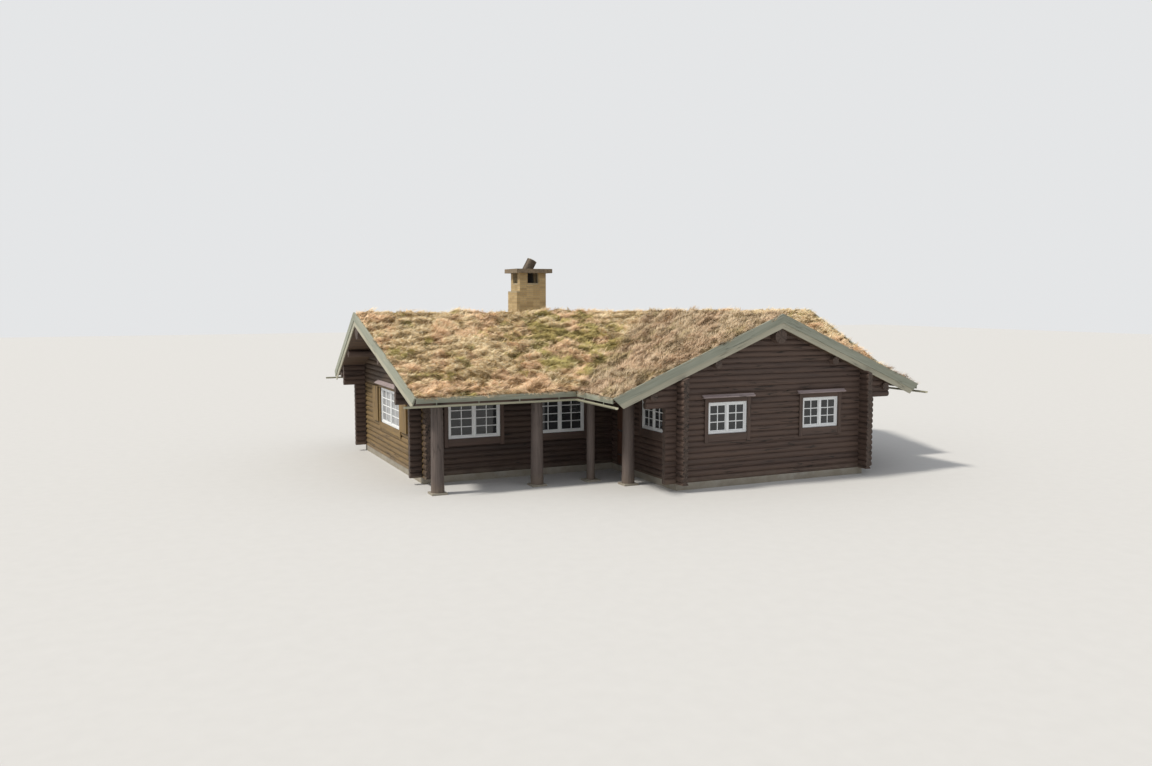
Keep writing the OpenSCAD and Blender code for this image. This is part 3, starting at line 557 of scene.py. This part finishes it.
def glass_material():
    """Dark panes with a little haze; at the gables, a painted sky reflection makes them pale."""
    net = Finish("window_glass")
    haze = net.noise(net.stretch(net.point, (1.0, 1.0, 0.6)), 1.2, 2.0, 0.5)
    # painted reflection: pale panes at the gables, as if they mirror the sky
    gable = net.band(net.away(net.split(net.point)[0]), GABLE_X - 0.4, GABLE_X - 0.3)
    base = net.mix(gable, net.mix(haze, (44, 47, 50), (74, 76, 78)),
                   net.mix(haze, (150, 152, 154), (186, 188, 190)))
    return net.done(base, net.scaled(haze, 0.02), IOR=1.5, Transmission_Weight=0.3)


def brick_material():
    """Yellow-brown bricks, each with its own tone, sooty towards the top."""
    net = Finish("yellow_brick")
    snap = net.put("ShaderNodeVectorMath", {
        0: net.point, 1: (BRICK_L + JOINT, BRICK_L + JOINT, BRICK_H + JOINT)}, operation="SNAP")
    cell = net.put("ShaderNodeTexWhiteNoise", {"Vector": snap.outputs[0]},
                   noise_dimensions="3D").outputs["Value"]
    fine = net.noise(net.point, 45.0, 5.0, 0.65)
    base = net.mix(cell, (168, 144, 100), (208, 184, 136))
    base = net.tint(base, fine, 0.5, (142, 118, 84))
    soot = net.band(net.split(net.point)[2], 5.5, 6.3)
    base = net.tint(base, soot, 0.3, (104, 90, 70))
    return net.done(base, 0.85, fine, 0.004)


# Modelling helpers
def clear_selection():
    if bpy.context.object and bpy.context.object.mode != "OBJECT":
        bpy.ops.object.mode_set(mode="OBJECT")
    bpy.ops.object.select_all(action="DESELECT")


def take(piece):
    """Make one piece the only one selected."""
    clear_selection()
    piece.select_set(True)
    bpy.context.view_layer.objects.active = piece


def added(add, **sizes):
    """A new basic shape, selected, with its place and size in its mesh."""
    clear_selection()
    add(**sizes)
    bpy.ops.object.transform_apply(location=True, rotation=True, scale=True)
    return bpy.context.object


class Editing:
    """Edit mode for the selected piece, with all of its mesh selected, or none of it, or
    what was selected before."""
    def __init__(self, action=None):
        self.action = action

    def __enter__(self):
        bpy.ops.object.mode_set(mode="EDIT")
        if self.action:
            bpy.ops.mesh.select_all(action=self.action)

    def __exit__(self, *problem):
        bpy.ops.object.mode_set(mode="OBJECT")


def block(low, high, edge=0.0, place=None):
    """A box between two corners with its edges bevelled, set by a matrix."""
    clear_selection()
    bpy.ops.mesh.primitive_cube_add(size=1.0, location=[(a + b) / 2 for a, b in zip(low, high)])
    piece = bpy.context.object
    piece.scale = [b - a for a, b in zip(low, high)]
    bpy.ops.object.transform_apply(location=True, rotation=True, scale=True)
    if edge:
        with Editing("SELECT"):
            bpy.ops.mesh.bevel(offset=edge, segments=1, affect="EDGES")
    if place is not None:
        piece.data.transform(place)
    return piece


def copy_of(master, place):
    """A copy with its own mesh, set by a matrix."""
    twin = master.copy()
    twin.data = master.data.copy()
    twin.data.transform(place)
    bpy.context.scene.collection.objects.link(twin)
    return twin


def joined(name, parts):
    take(parts[0])
    for part in parts:
        part.select_set(True)
    if len(parts) > 1:
        bpy.ops.object.join()
    whole = bpy.context.object
    whole.name = name
    whole.data.name = name
    return whole


def drop(piece):
    bpy.data.objects.remove(piece, do_unlink=True)


def finish_piece(piece, material, slot_name, *nodes, body="house"):
    piece.data.materials.clear()
    piece.data.materials.append(material)
    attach(piece, body)
    if nodes:
        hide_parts(*nodes)


def apply_all(piece):
    take(piece)
    for modifier in list(piece.modifiers):
        bpy.ops.object.modifier_apply(modifier=modifier.name)


def dress(material, *nodes):
    """Put a material on carried-over nodes."""
    for node in nodes:
        slots = frame["nodes"][node].data.materials
        for i in range(len(slots)):
            slots[i] = material
        if not len(slots):
            slots.append(material)


# Turf
def tussock_tree():
    """Geometry nodes that raise the upper side of the turf into tussocks."""
    net, given, out = new_group("raise_tussocks", {"Mat": "Geometry"}, {"Mat": "Geometry"},
                                "GeometryNodeTree")
    field = tussock_field(net, net.put("GeometryNodeInputPosition").outputs[0])
    normal = net.put("GeometryNodeInputNormal").outputs[0]
    upward = net.band(net.split(normal)[2], 0.3, 0.7)
    lift = net.scaled(net.less(field, TUSSOCK_MIDDLE), TUSSOCK_HEIGHT)
    move = net.put("ShaderNodeVectorMath", {0: normal, "Scale": net.scaled(lift, upward)},
                   operation="SCALE")
    moved = net.put("GeometryNodeSetPosition", {"Geometry": given[0],
                                                "Offset": move.outputs[0]})
    net.feed(out[0], moved.outputs[0])
    return net.tree


def turf_mat(material):
    """The turf of all slopes as one lumpy mat, in place of its flat solids."""
    nodes = ["turf_" + slope for slope in SLOPES]
    parts = []
    for node in nodes:
        part = bpy.data.objects.new("mat_part", frame["nodes"][node].data.copy())
        bpy.context.scene.collection.objects.link(part)
        take(part)
        with Editing("SELECT"):
            bpy.ops.mesh.remove_doubles(threshold=0.0002)
        parts.append(part)
    mat = joined("turf_mat", parts)
    cells = mat.modifiers.new("cells", "REMESH")
    cells.mode = "VOXEL"
    cells.voxel_size = MAT_CELL
    apply_all(mat)
    top = mat.vertex_groups.new(name="top")
    top.add([v.index for v in mat.data.vertices if v.normal.z > 0.35], 1.0, "REPLACE")
    humps = mat.modifiers.new("humps", "DISPLACE")
    humps.texture = bpy.data.textures.new("humps", "CLOUDS")
    humps.texture.noise_scale = 0.7
    humps.texture.noise_depth = 3
    humps.texture_coords = "LOCAL"
    humps.strength = 0.1
    humps.vertex_group = "top"
    apply_all(mat)
    mat.vertex_groups.clear()
    raised = mat.modifiers.new("tussocks", "NODES")
    raised.node_group = tussock_tree()
    apply_all(mat)
    bpy.ops.object.shade_smooth()
    finish_piece(mat, material, "turf", *nodes)
    return mat


def slope_at(x, y):
    """The slope over a point in plan."""
    if y > 0:
        return "back"
    side = "left" if x < WING_X else "right"
    return ("wing_" if -y > abs(x - WING_X) else "front_") + side


def grass_blade(length, width, bend):
    """One dry blade from the origin along +X: a strip that narrows to a point."""
    clear_selection()
    bpy.ops.mesh.primitive_plane_add(size=1.0)
    blade = bpy.context.object
    with Editing("SELECT"):
        bpy.ops.transform.translate(value=(0.5, 0.0, 0.0))
        bpy.ops.transform.resize(value=(length * 0.55, width, 1.0), center_override=(0, 0, 0))
        bpy.ops.mesh.select_all(action="DESELECT")
    for edge in blade.data.edges:
        edge.select = all(blade.data.vertices[i].co.x > length * 0.3 for i in edge.vertices)
    with Editing():
        bpy.ops.mesh.select_mode(type="EDGE")
        bpy.ops.transform.translate(value=(0.0, 0.0, bend))
        bpy.ops.mesh.extrude_region_move(
            TRANSFORM_OT_translate={"value": (length * 0.45, 0.0, bend * 0.15)})
        bpy.ops.mesh.merge(type="CENTER")
    layer = blade.data.uv_layers.active.data
    for loop in blade.data.loops:
        spot = blade.data.vertices[loop.vertex_index].co
        layer[loop.index].uv = (spot.y / width + 0.5, max(0.0, spot.x / length))
    return blade


def make_tufts(rng, kinds, blades, length, lean, fan):
    """A few tufts of wind-lodged blades that lie mostly along +X. lean: how far they rise
    from level, from and to; fan: how far they turn to each side. Both are in degrees."""
    made = []
    for kind in range(kinds):
        parts = []
        for _ in range(blades):
            size = length * rng.uniform(0.6, 1.25)
            blade = grass_blade(size, rng.uniform(0.007, 0.013), size * rng.uniform(0.05, 0.25))
            tilt = -math.radians(rng.uniform(*lean))
            turn = math.radians(rng.uniform(-fan, fan))
            spot = (rng.uniform(-TUFT_R, TUFT_R), rng.uniform(-TUFT_R, TUFT_R), -0.01)
            blade.data.transform(Matrix.Translation(spot) @ Matrix.Rotation(turn, 4, "Z")
                                 @ Matrix.Rotation(tilt, 4, "Y"))
            parts.append(blade)
        made.append(joined("tuft_%d" % kind, parts))
    return made


def tuft_collection(tufts):
    holder = bpy.data.collections.new("tufts")
    for tuft in tufts:
        for home in list(tuft.users_collection):
            home.objects.unlink(tuft)
        holder.objects.link(tuft)
    return holder


def scatter_tree(holder):
    """Geometry nodes that set tufts over the upper side of a mat, lodged by the wind."""
    net, given, out = new_group(
        "set_tufts", {"Mat": "Geometry", "Spread": "Float", "Wind": "Float",
                      "Upright": "Vector", "Seed": "Int"}, {"Grass": "Geometry"},
        "GeometryNodeTree")

    def chance(low, high):
        return net.put("FunctionNodeRandomValue", {2: low, 3: high},
                       data_type="FLOAT").outputs[1]

    normal = net.put("GeometryNodeInputNormal").outputs[0]
    upward = net.put("FunctionNodeCompare", {"A": net.split(normal)[2], "B": 0.3},
                     data_type="FLOAT", operation="GREATER_THAN").outputs[0]
    # fuller on the tussocks than in the hollows
    field = tussock_field(net, net.put("GeometryNodeInputPosition").outputs[0])
    fuller = net.put("ShaderNodeMapRange", {"Value": field, "From Min": 0.38, "From Max": 0.62,
                                            "To Min": 0.45, "To Max": 1.55})
    points = net.put("GeometryNodeDistributePointsOnFaces", {
        "Mesh": given["Mat"], "Selection": upward, "Seed": given["Seed"],
        "Density": net.scaled(fuller.outputs[0], given["Spread"])})
    gust = net.put("ShaderNodeTexNoise", {"Scale": 0.8, "Detail": 1.0}).outputs["Fac"]
    turn = net.math("ADD", net.scaled(gust, GUST, given["Wind"]), chance(-STRAY, STRAY))
    lie = net.put("FunctionNodeAlignRotationToVector", {"Vector": given["Upright"]}, axis="Z")
    heading = net.put("FunctionNodeRotateRotation", {
        0: lie.outputs[0], 1: net.combine(0.0, 0.0, turn)}, rotation_space="LOCAL")
    kinds = net.put("GeometryNodeCollectionInfo", {"Collection": holder,
                                                   "Separate Children": True})
    tufts = net.put("GeometryNodeInstanceOnPoints", {
        "Points": points.outputs["Points"], "Instance": kinds.outputs[0],
        "Pick Instance": True, "Rotation": heading.outputs[0], "Scale": chance(0.66, 1.25)})
    real = net.put("GeometryNodeRealizeInstances", {0: tufts.outputs[0]})
    net.feed(out[0], real.outputs[0])
    return net.tree


def grass_on(slope, mat, tree, material, number):
    """Tufts over one slope: the mat's other slopes are cut off a copy of it first."""
    grass = copy_of(mat, Matrix())
    grass.name = "grass_" + slope
    grass.data.name = grass.name
    take(grass)
    for face in grass.data.polygons:
        face.select = slope_at(face.center.x, face.center.y) != slope
    with Editing():
        bpy.ops.mesh.select_mode(type="FACE")
        bpy.ops.mesh.delete(type="FACE")
    setting = grass.modifiers.new("set_tufts", "NODES")
    setting.node_group = tree
    names = {s.name: s.identifier for s in tree.interface.items_tree if s.in_out == "INPUT"}
    spread, heading, down = SLOPES[slope]
    lean = math.sin(PITCH)
    setting[names["Spread"]] = spread
    setting[names["Wind"]] = heading - GUST / 2
    setting[names["Upright"]] = (down[0] * lean, down[1] * lean, math.cos(PITCH))
    setting[names["Seed"]] = number
    apply_all(grass)
    finish_piece(grass, material, "turf")


def eave_edges():
    """Top edges of the eave boards: start, end, and the way out."""
    left, right = WING_X - ROOF_RUN, WING_X + ROOF_RUN
    main_end, wing_end = 8.33, -7.58
    edges = (((-main_end, -ROOF_RUN), (left, -ROOF_RUN), (0, -1)),
             ((left, -ROOF_RUN), (left, wing_end), (-1, 0)),
             ((right, wing_end), (right, -ROOF_RUN), (1, 0)),
             ((right, -ROOF_RUN), (main_end, -ROOF_RUN), (0, -1)),
             ((-main_end, ROOF_RUN), (main_end, ROOF_RUN), (0, 1)))
    return [(Vector((*start, EAVE_TOP)), Vector((*end, EAVE_TOP)), Vector((*out, 0)))
            for start, end, out in edges]


def eave_fringe(material, rng):
    """Grass that hangs a little over the eave boards."""
    tufts = make_tufts(rng, kinds=4, blades=9, length=0.15, lean=(-28.0, 12.0), fan=50.0)
    parts = []
    for start, end, out in eave_edges():
        count = int((end - start).length / FRINGE_STEP)
        heading = math.atan2(out.y, out.x)
        for i in range(count):
            spot = start.lerp(end, (i + rng.random()) / count)
            spot -= out * rng.uniform(0.02, 0.07)
            spot.z += rng.uniform(-0.005, 0.02)
            full = 0.9 + 0.3 * math.sin(i * 0.31) + 0.2 * math.sin(i * 0.83 + heading)
            place = (Matrix.Translation(spot) @ Matrix.Rotation(heading, 4, "Z")
                     @ Matrix.Scale(full * rng.uniform(0.6, 1.1), 4))
            parts.append(copy_of(rng.choice(tufts), place))
    for tuft in tufts:
        drop(tuft)
    finish_piece(joined("grass_fringe", parts), material, "turf")


def lay_turf(rng):
    blade_finish = blade_material()
    holder = tuft_collection(
        make_tufts(rng, kinds=6, blades=9, length=0.17, lean=(4.0, 44.0), fan=60.0))
    tree = scatter_tree(holder)
    mat = turf_mat(mat_material())
    for number, slope in enumerate(SLOPES):
        grass_on(slope, mat, tree, blade_finish, number + 3)
    for tuft in list(holder.objects):
        drop(tuft)
    bpy.data.collections.remove(holder)
    eave_fringe(blade_finish, rng)


# Windows: the middle of each opening's sill on the outer face of the logs as X and Y, the
# turn of the wall in degrees, the width and the height of the sill
WINDOWS = ((-6.11, -3.6, 0, 1.6, TALL_SILL), (-3.36, -3.6, 0, 1.6, TALL_SILL),
           (0.08, -7.5, 0, 1.3, LOW_SILL), (3.34, -7.5, 0, 1.3, LOW_SILL),
           (-4.774, 3.6, 180, 1.3, LOW_SILL), (1.71, 3.6, 180, 1.3, LOW_SILL),
           (5.621, 3.6, 180, 1.3, LOW_SILL), (-GABLE_X, 0.0, -90, 2.4, TALL_SILL),
           (GABLE_X, 0.0, 90, 2.4, TALL_SILL), (-1.59, -6.15, -90, 1.3, LOW_SILL),
           (5.01, -6.15, 90, 1.3, LOW_SILL))


def window_places():
    """Every window: matrix of its opening (X along the wall, -Y outwards), half its width,
    its height, rows of panes, and the gable that it is in, if any."""
    for x, y, turn, width, sill in WINDOWS:
        place = Matrix.Translation((x, y, sill)) @ Matrix.Rotation(math.radians(turn), 4, "Z")
        gable = {-GABLE_X: "left", GABLE_X: "right"}.get(x)
        yield place, width / 2, HEAD - sill, 4 if sill == TALL_SILL else 3, gable


def light_parts(x0, x1, z0, z1, rows, place):
    """One casement: its four members, one upright bar and the level bars."""
    y = FRAME_BACK + SASH_IN
    back, front = y + SASH_T, y + BAR_IN
    left, right, low, high = x0 + SASH_W, x1 - SASH_W, z0 + SASH_W, z1 - SASH_W
    middle = (x0 + x1) / 2
    boxes = [((x0, y, z0), (left, back, z1)), ((right, y, z0), (x1, back, z1)),
             ((left, y, z0), (right, back, low)), ((left, y, high), (right, back, z1)),
             ((middle - BAR_W / 2, front, low), (middle + BAR_W / 2, front + BAR_T, high))]
    for row in range(1, rows):
        z = low + (high - low) * row / rows
        boxes.append(((left, front + 0.001, z - BAR_W / 2),
                      (right, front + BAR_T - 0.001, z + BAR_W / 2)))
    return [block(*box, 0.003, place) for box in boxes]


def window_sashes(material):
    parts = []
    for place, half, height, rows, _ in window_places():
        light = half - 1.5 * FRAME_W
        for x0 in (FRAME_W - half, FRAME_W / 2):
            parts += light_parts(x0 + PLAY, x0 + light - PLAY, FRAME_W + PLAY,
                                 height - FRAME_W - PLAY, rows, place)
    finish_piece(joined("window_sashes", parts), material, "window_paint")


def drip_board(place, reach, z, wide):
    """A board that slopes outwards over a window, on two small cheeks."""
    tip = Matrix.Translation((0.0, -0.012, z + 0.085)) @ Matrix.Rotation(DRIP_TILT, 4, "X")
    parts = [block((-reach, -DRIP_T / 2, -wide), (reach, DRIP_T / 2, 0.0), 0.004, place @ tip)]
    for x in (0.03 - reach, reach - 0.03):
        parts.append(block((x - 0.012, -0.075, z), (x + 0.012, 0.0, z + 0.03), 0.003, place))
    return parts


def window_planks(finishes):
    """Plank casings beside, over and under the windows, and the drip boards. The left
    gable's are an ochre that is partly painted sunlight, like its logs, so they are pieces of
    their own."""
    kinds = {name: [] for name in finishes}
    for place, half, height, _, gable in window_places():
        tail = "_left" if gable == "left" else ""
        top = height + DRIP_UP
        for x in (-half - CASING_W, half):
            kinds["casing_uprights" + tail].append(
                block((x, -CASING_T, -CASING_DROP), (x + CASING_W, 0.0, top), 0.004, place))
        for low, high in ((height + PLAY, top), (0.03 - CASING_DROP, -PLAY)):
            kinds["casing_boards" + tail].append(
                block((PLAY - half, 0.004 - CASING_T, low), (half - PLAY, 0.0, high), 0.004,
                      place))
        kinds["drip_boards"] += drip_board(place, half + CASING_W + DRIP_SIDE, top,
                                           0.17 if gable else 0.13)
    for name, parts in kinds.items():
        nodes = ("window_trim",) if name == "casing_uprights" else ()
        finish_piece(joined(name, parts), finishes[name], "trim_wood", *nodes)


def shutter_boards(material):
    """Five upright boards on the face of each folded shutter at the gables."""
    parts = []
    step = SHUTTER_W / SHUTTER_BOARDS
    for place, half, height, _, gable in window_places():
        if not gable:
            continue
        off = half + CASING_W + SHUTTER_OFF
        for x0 in (off, -off - SHUTTER_W):
            for i in range(SHUTTER_BOARDS):
                x = x0 + i * step
                parts.append(block((x + PLAY, -SHUTTER_FACE - 0.008, 0.004),
                                   (x + step - PLAY, -SHUTTER_FACE, height - 0.004), 0.003,
                                   place))
    finish_piece(joined("shutter_boards", parts), material, "shutter_wood")


def door_boards(material, iron):
    """Six boards on the door's face, and three straps with the heads of their bolts."""
    (low, high), (foot, head) = DOOR_Y, DOOR_Z
    step = (high - low) / DOOR_BOARDS
    boards = []
    for i in range(DOOR_BOARDS):
        y = low + i * step
        boards.append(block((DOOR_X - 0.007, y, foot + 0.004),
                            (DOOR_X, y + step - 0.004, head - 0.004), 0.002))
    finish_piece(joined("door_boards", boards), material, "door_wood", body="door")
    straps = []
    for z in (foot + STRAP_IN, (foot + head) / 2, head - STRAP_IN):
        straps.append(block((STRAP_X - 0.005, STRAP_END, z + 0.008),
                            (STRAP_X, high + PLAY, z + 0.05), 0.0015))
        for y in STRAP_BOLTS:
            straps.append(added(bpy.ops.mesh.primitive_uv_sphere_add, segments=10, ring_count=6,
                                radius=BOLT_R, location=(STRAP_X - 0.005, y, z + 0.029)))
    finish_piece(joined("door_straps", straps), iron, "handle_metal", body="door")


# Chimney
def flue_liner(material):
    """The sooty flue pipe that ends inside the smoke chamber."""
    liner = added(bpy.ops.mesh.primitive_cylinder_add, vertices=32, radius=LINER_R,
                  depth=LINER_H, location=(*FLUE, 6.0045))
    with Editing("DESELECT"):
        bpy.ops.mesh.select_mode(type="FACE")
    for face in liner.data.polygons:
        face.select = face.normal.z > 0.9
    with Editing():
        bpy.ops.mesh.inset(thickness=0.025)
        bpy.ops.mesh.extrude_region_move(TRANSFORM_OT_translate={"value": (0, 0, -0.2)})
    liner.name = "flue_liner"
    finish_piece(liner, material, "brick")


def cowl_rim(material):
    """A rolled rim round the mouth of the leaning cowl, pale with a painted highlight on its lit
    top edge.
    """
    rim = added(bpy.ops.mesh.primitive_torus_add, major_radius=RIM_RING, minor_radius=RIM_ROLL,
                major_segments=48, minor_segments=10)
    rim.data.transform(Matrix.Translation(COWL_FOOT) @ Matrix.Rotation(COWL_LEAN, 4, "Y")
                       @ Matrix.Translation((0.0, 0.0, RIM_UP)))
    rim.name = "cowl_rim"
    finish_piece(rim, material, "cowl_metal")


def brick_runs(a, b, shift):
    """Bricks of one course between two ends, bonded half a brick over from the next."""
    at = a - shift
    while at < b:
        low, high = max(at, a), min(at + BRICK_L, b)
        if high - low > BRICK_LEAST:
            yield low, high
        at += BRICK_L + JOINT


def course_faces(z0):
    """The faces of the stack at one course: both ends, the axis along, the level of the
    face across and the way out. Above the outlets' foot each face is in two parts."""
    left = SHOULDER_X if z0 + BRICK_H < SHOULDER_TOP else STACK[0]
    for axis, ends, levels in ((0, (left, STACK[1]), STACK[2:]),
                               (1, STACK[2:], (left, STACK[1]))):
        for level, way in zip(levels, (-1, 1)):
            if z0 + BRICK_H > OUTLET_FOOT:
                yield ends[0], FLUE[axis] - OUTLET_HALF, axis, level, way
                yield FLUE[axis] + OUTLET_HALF, ends[1], axis, level, way
            else:
                yield *ends, axis, level, way


def stack_bricks(material):
    master = block((0.0, 0.0, 0.0), (1.0, 1.0, 1.0))
    step = BRICK_H + JOINT
    rows = int(STACK_TOP / step)
    thick = BRICK_DEEP + BRICK_PROUD
    shapes = []
    for row in range(rows):
        z0 = STACK_TOP - (rows - row) * step + JOINT
        shift = (row % 2) * (BRICK_L + JOINT) / 2
        for a, b, axis, level, way in course_faces(z0):
            near = level - (BRICK_DEEP if way > 0 else BRICK_PROUD)
            for low, high in brick_runs(a, b, shift):
                at, size = [low, near], [high - low, thick]
                if axis:
                    at.reverse()
                    size.reverse()
                place = Matrix.Translation((*at, z0)) @ Matrix.Diagonal((*size, BRICK_H, 1.0))
                shapes.append(copy_of(master, place))
    drop(master)
    whole = joined("chimney_bricks", shapes)
    bevel = whole.modifiers.new("worn_edges", "BEVEL")
    bevel.width = 0.003
    bevel.segments = 1
    apply_all(whole)
    finish_piece(whole, material, "brick")


# Build. Walls: the material's name, its nodes, the way its logs run, the place of their
# axis across, and their tones
WALLS = (("log_front", ("front_wall", "front_wall_right"), 0, -3.505, PORCH_LOGS_PAINTED_SHADE),
         ("log_rear", ("rear_wall",), 0, 3.505, LOG_STAIN),
         ("log_wing_front", ("wing_front_wall",), 0, -7.405, LOG_STAIN),
         ("log_wing_left", ("wing_left_wall", "wall_beside_door", "wall_over_door"), 1, -1.495,
          LOG_STAIN),
         ("log_wing_right", ("wing_right_wall",), 1, 4.915, LOG_STAIN),
         ("log_right", ("right_gable_wall",), 1, 7.605, LOG_STAIN),
         ("log_left", ("left_gable_wall",), 1, -7.605, BLEACHED_LOGS_PAINTED_SUN))
# Roof logs: the node, the way it runs, the place of its axis across, its height, and the
# middle of a pair
ROOF_LOGS = (("main_ridge_log", 0, 0.0, 4.2434, None), ("main_purlins", 0, 2.05, 3.4875, 0.0),
             ("rear_eave_purlin", 0, 4.05, 2.655, None), ("porch_beam", 0, -5.1, 2.509, None),
             ("wing_ridge_log", 1, WING_X, 4.2434, None),
             ("wing_purlins", 1, 2.05, 3.4875, WING_X),
             ("wing_eave_purlins", 1, 4.05, 2.655, WING_X))


def dress_logs():
    for name, nodes, along, heart, tones in WALLS:
        first = (FIRST_LOG_Y if along else FIRST_LOG_X) - LOG_COURSE / 2
        # the left gable gets painted shade on its upper courses and crossed corner ends
        painted_shade_tones = PAINTED_SHADE_LOGS if name == "log_left" else None
        dress(log_material(name, along, heart, first, tones, painted_shade_tones=painted_shade_tones), *nodes)
    for node, along, heart, height, fold in ROOF_LOGS:
        dress(log_material(node, along, heart, height, ROOF_LOG_STAIN, fold, course=False), node)
    dress(log_material("post_wood", 2, 0.0, 0.0, POST_STAIN, course=False, checks=0.35),
          "porch_posts")


def dress_house():
    dress_logs()
    dress(concrete_material(), "plinth", "floor_slab", "post_pads")
    dress(board_material("floor_boards", 0, ((150, 110, 66), (196, 156, 104)), 0.14),
          "floor_boards")
    for tail, along in (("", 0), ("_wing", 1)):
        soffit = board_material("roof_boards" + tail, along, SOFFIT, 0.12, 1 - along)
        dress(soffit, *["deck_" + s for s in SLOPES if s.startswith("wing") == bool(along)])
    for node, axis in (("barge_left", 1), ("barge_right", 1), ("barge_wing", 0),
                       ("eave_boards", None)):
        dress(stain_material(node + "_stain", axis), node)
    dress(gutter_material(), "gutters")
    dress(plain_material("mortar", ((146, 134, 108), (176, 162, 134)), 0.85, 0.02,
                         chamber=True), "chimney_stack")
    dress(plain_material("slab_concrete", ((104, 92, 76), (140, 126, 106)), 0.85, 0.06, 0.006),
          "chimney_slab")
    dress(plain_material("cowl_metal", ((66, 58, 50), (100, 88, 74)), 0.5, 0.05, 0.002,
                         metal=0.6), "chimney_cowl")


def fit_windows():
    paint = plain_material("white_paint", ((226, 228, 228), (238, 240, 240)), 0.35, 0.03,
                           0.0008)
    dress(paint, "window_frames")
    dress(glass_material(), "window_glass")
    window_sashes(paint)
    # the shutters and the left gable's casings take the ochre that is partly painted sunlight
    shutter_wood = board_material("shutter_wood", 2, OCHRE_PAINTED_SUN)
    window_planks({
        "casing_uprights": board_material("casing_upright", 2, TRIM_STAIN),
        "casing_boards": board_material("casing_level", 0, TRIM_STAIN),
        "casing_uprights_left": shutter_wood,
        "casing_boards_left": board_material("apron_left", 1, OCHRE_PAINTED_SUN),
        "drip_boards": board_material("drip_board", 0, ((134, 118, 118), (176, 162, 160)))})
    dress(shutter_wood, "window_shutters")
    shutter_boards(shutter_wood)


def hang_door():
    door_wood = board_material("door_wood", 2, ((66, 44, 34), (104, 72, 54)))
    dress(door_wood, "door_leaf")
    dress(board_material("door_frame_wood", 2, TRIM_STAIN), "door_frame")
    iron = plain_material("door_iron", ((60, 60, 62), (96, 96, 98)), 0.35, 0.02, 0.0006,
                          metal=0.9)
    dress(iron, "door_handle")
    door_boards(door_wood, iron)


def build():
    rng = random.Random(31)
    make_camera()
    make_light()
    dress_house()
    lay_turf(rng)
    fit_windows()
    hang_door()
    stack_bricks(brick_material())
    flue_liner(plain_material("soot", ((26, 23, 21), (48, 43, 38)), 0.9, 0.03, 0.003))
    # the rim's pale tone is a painted highlight on the cowl's top edge
    cowl_rim(plain_material("rim_metal", ((150, 146, 138), (190, 186, 178)), 0.4, 0.03, 0.0005,
                            metal=0.8))


def make_stage():
    clear_selection()
    bpy.ops.mesh.primitive_plane_add(size=240.0, location=(0, 0, -0.002))
    floor = bpy.context.object
    floor.name = "studio_floor"
    net = Finish("studio_floor")
    paper = net.noise(net.point, 3.0, 3.0, 0.5)
    floor.data.materials.append(
        net.done(net.mix(paper, (196, 195, 192), (202, 201, 198)), 0.95))


build()
make_stage()
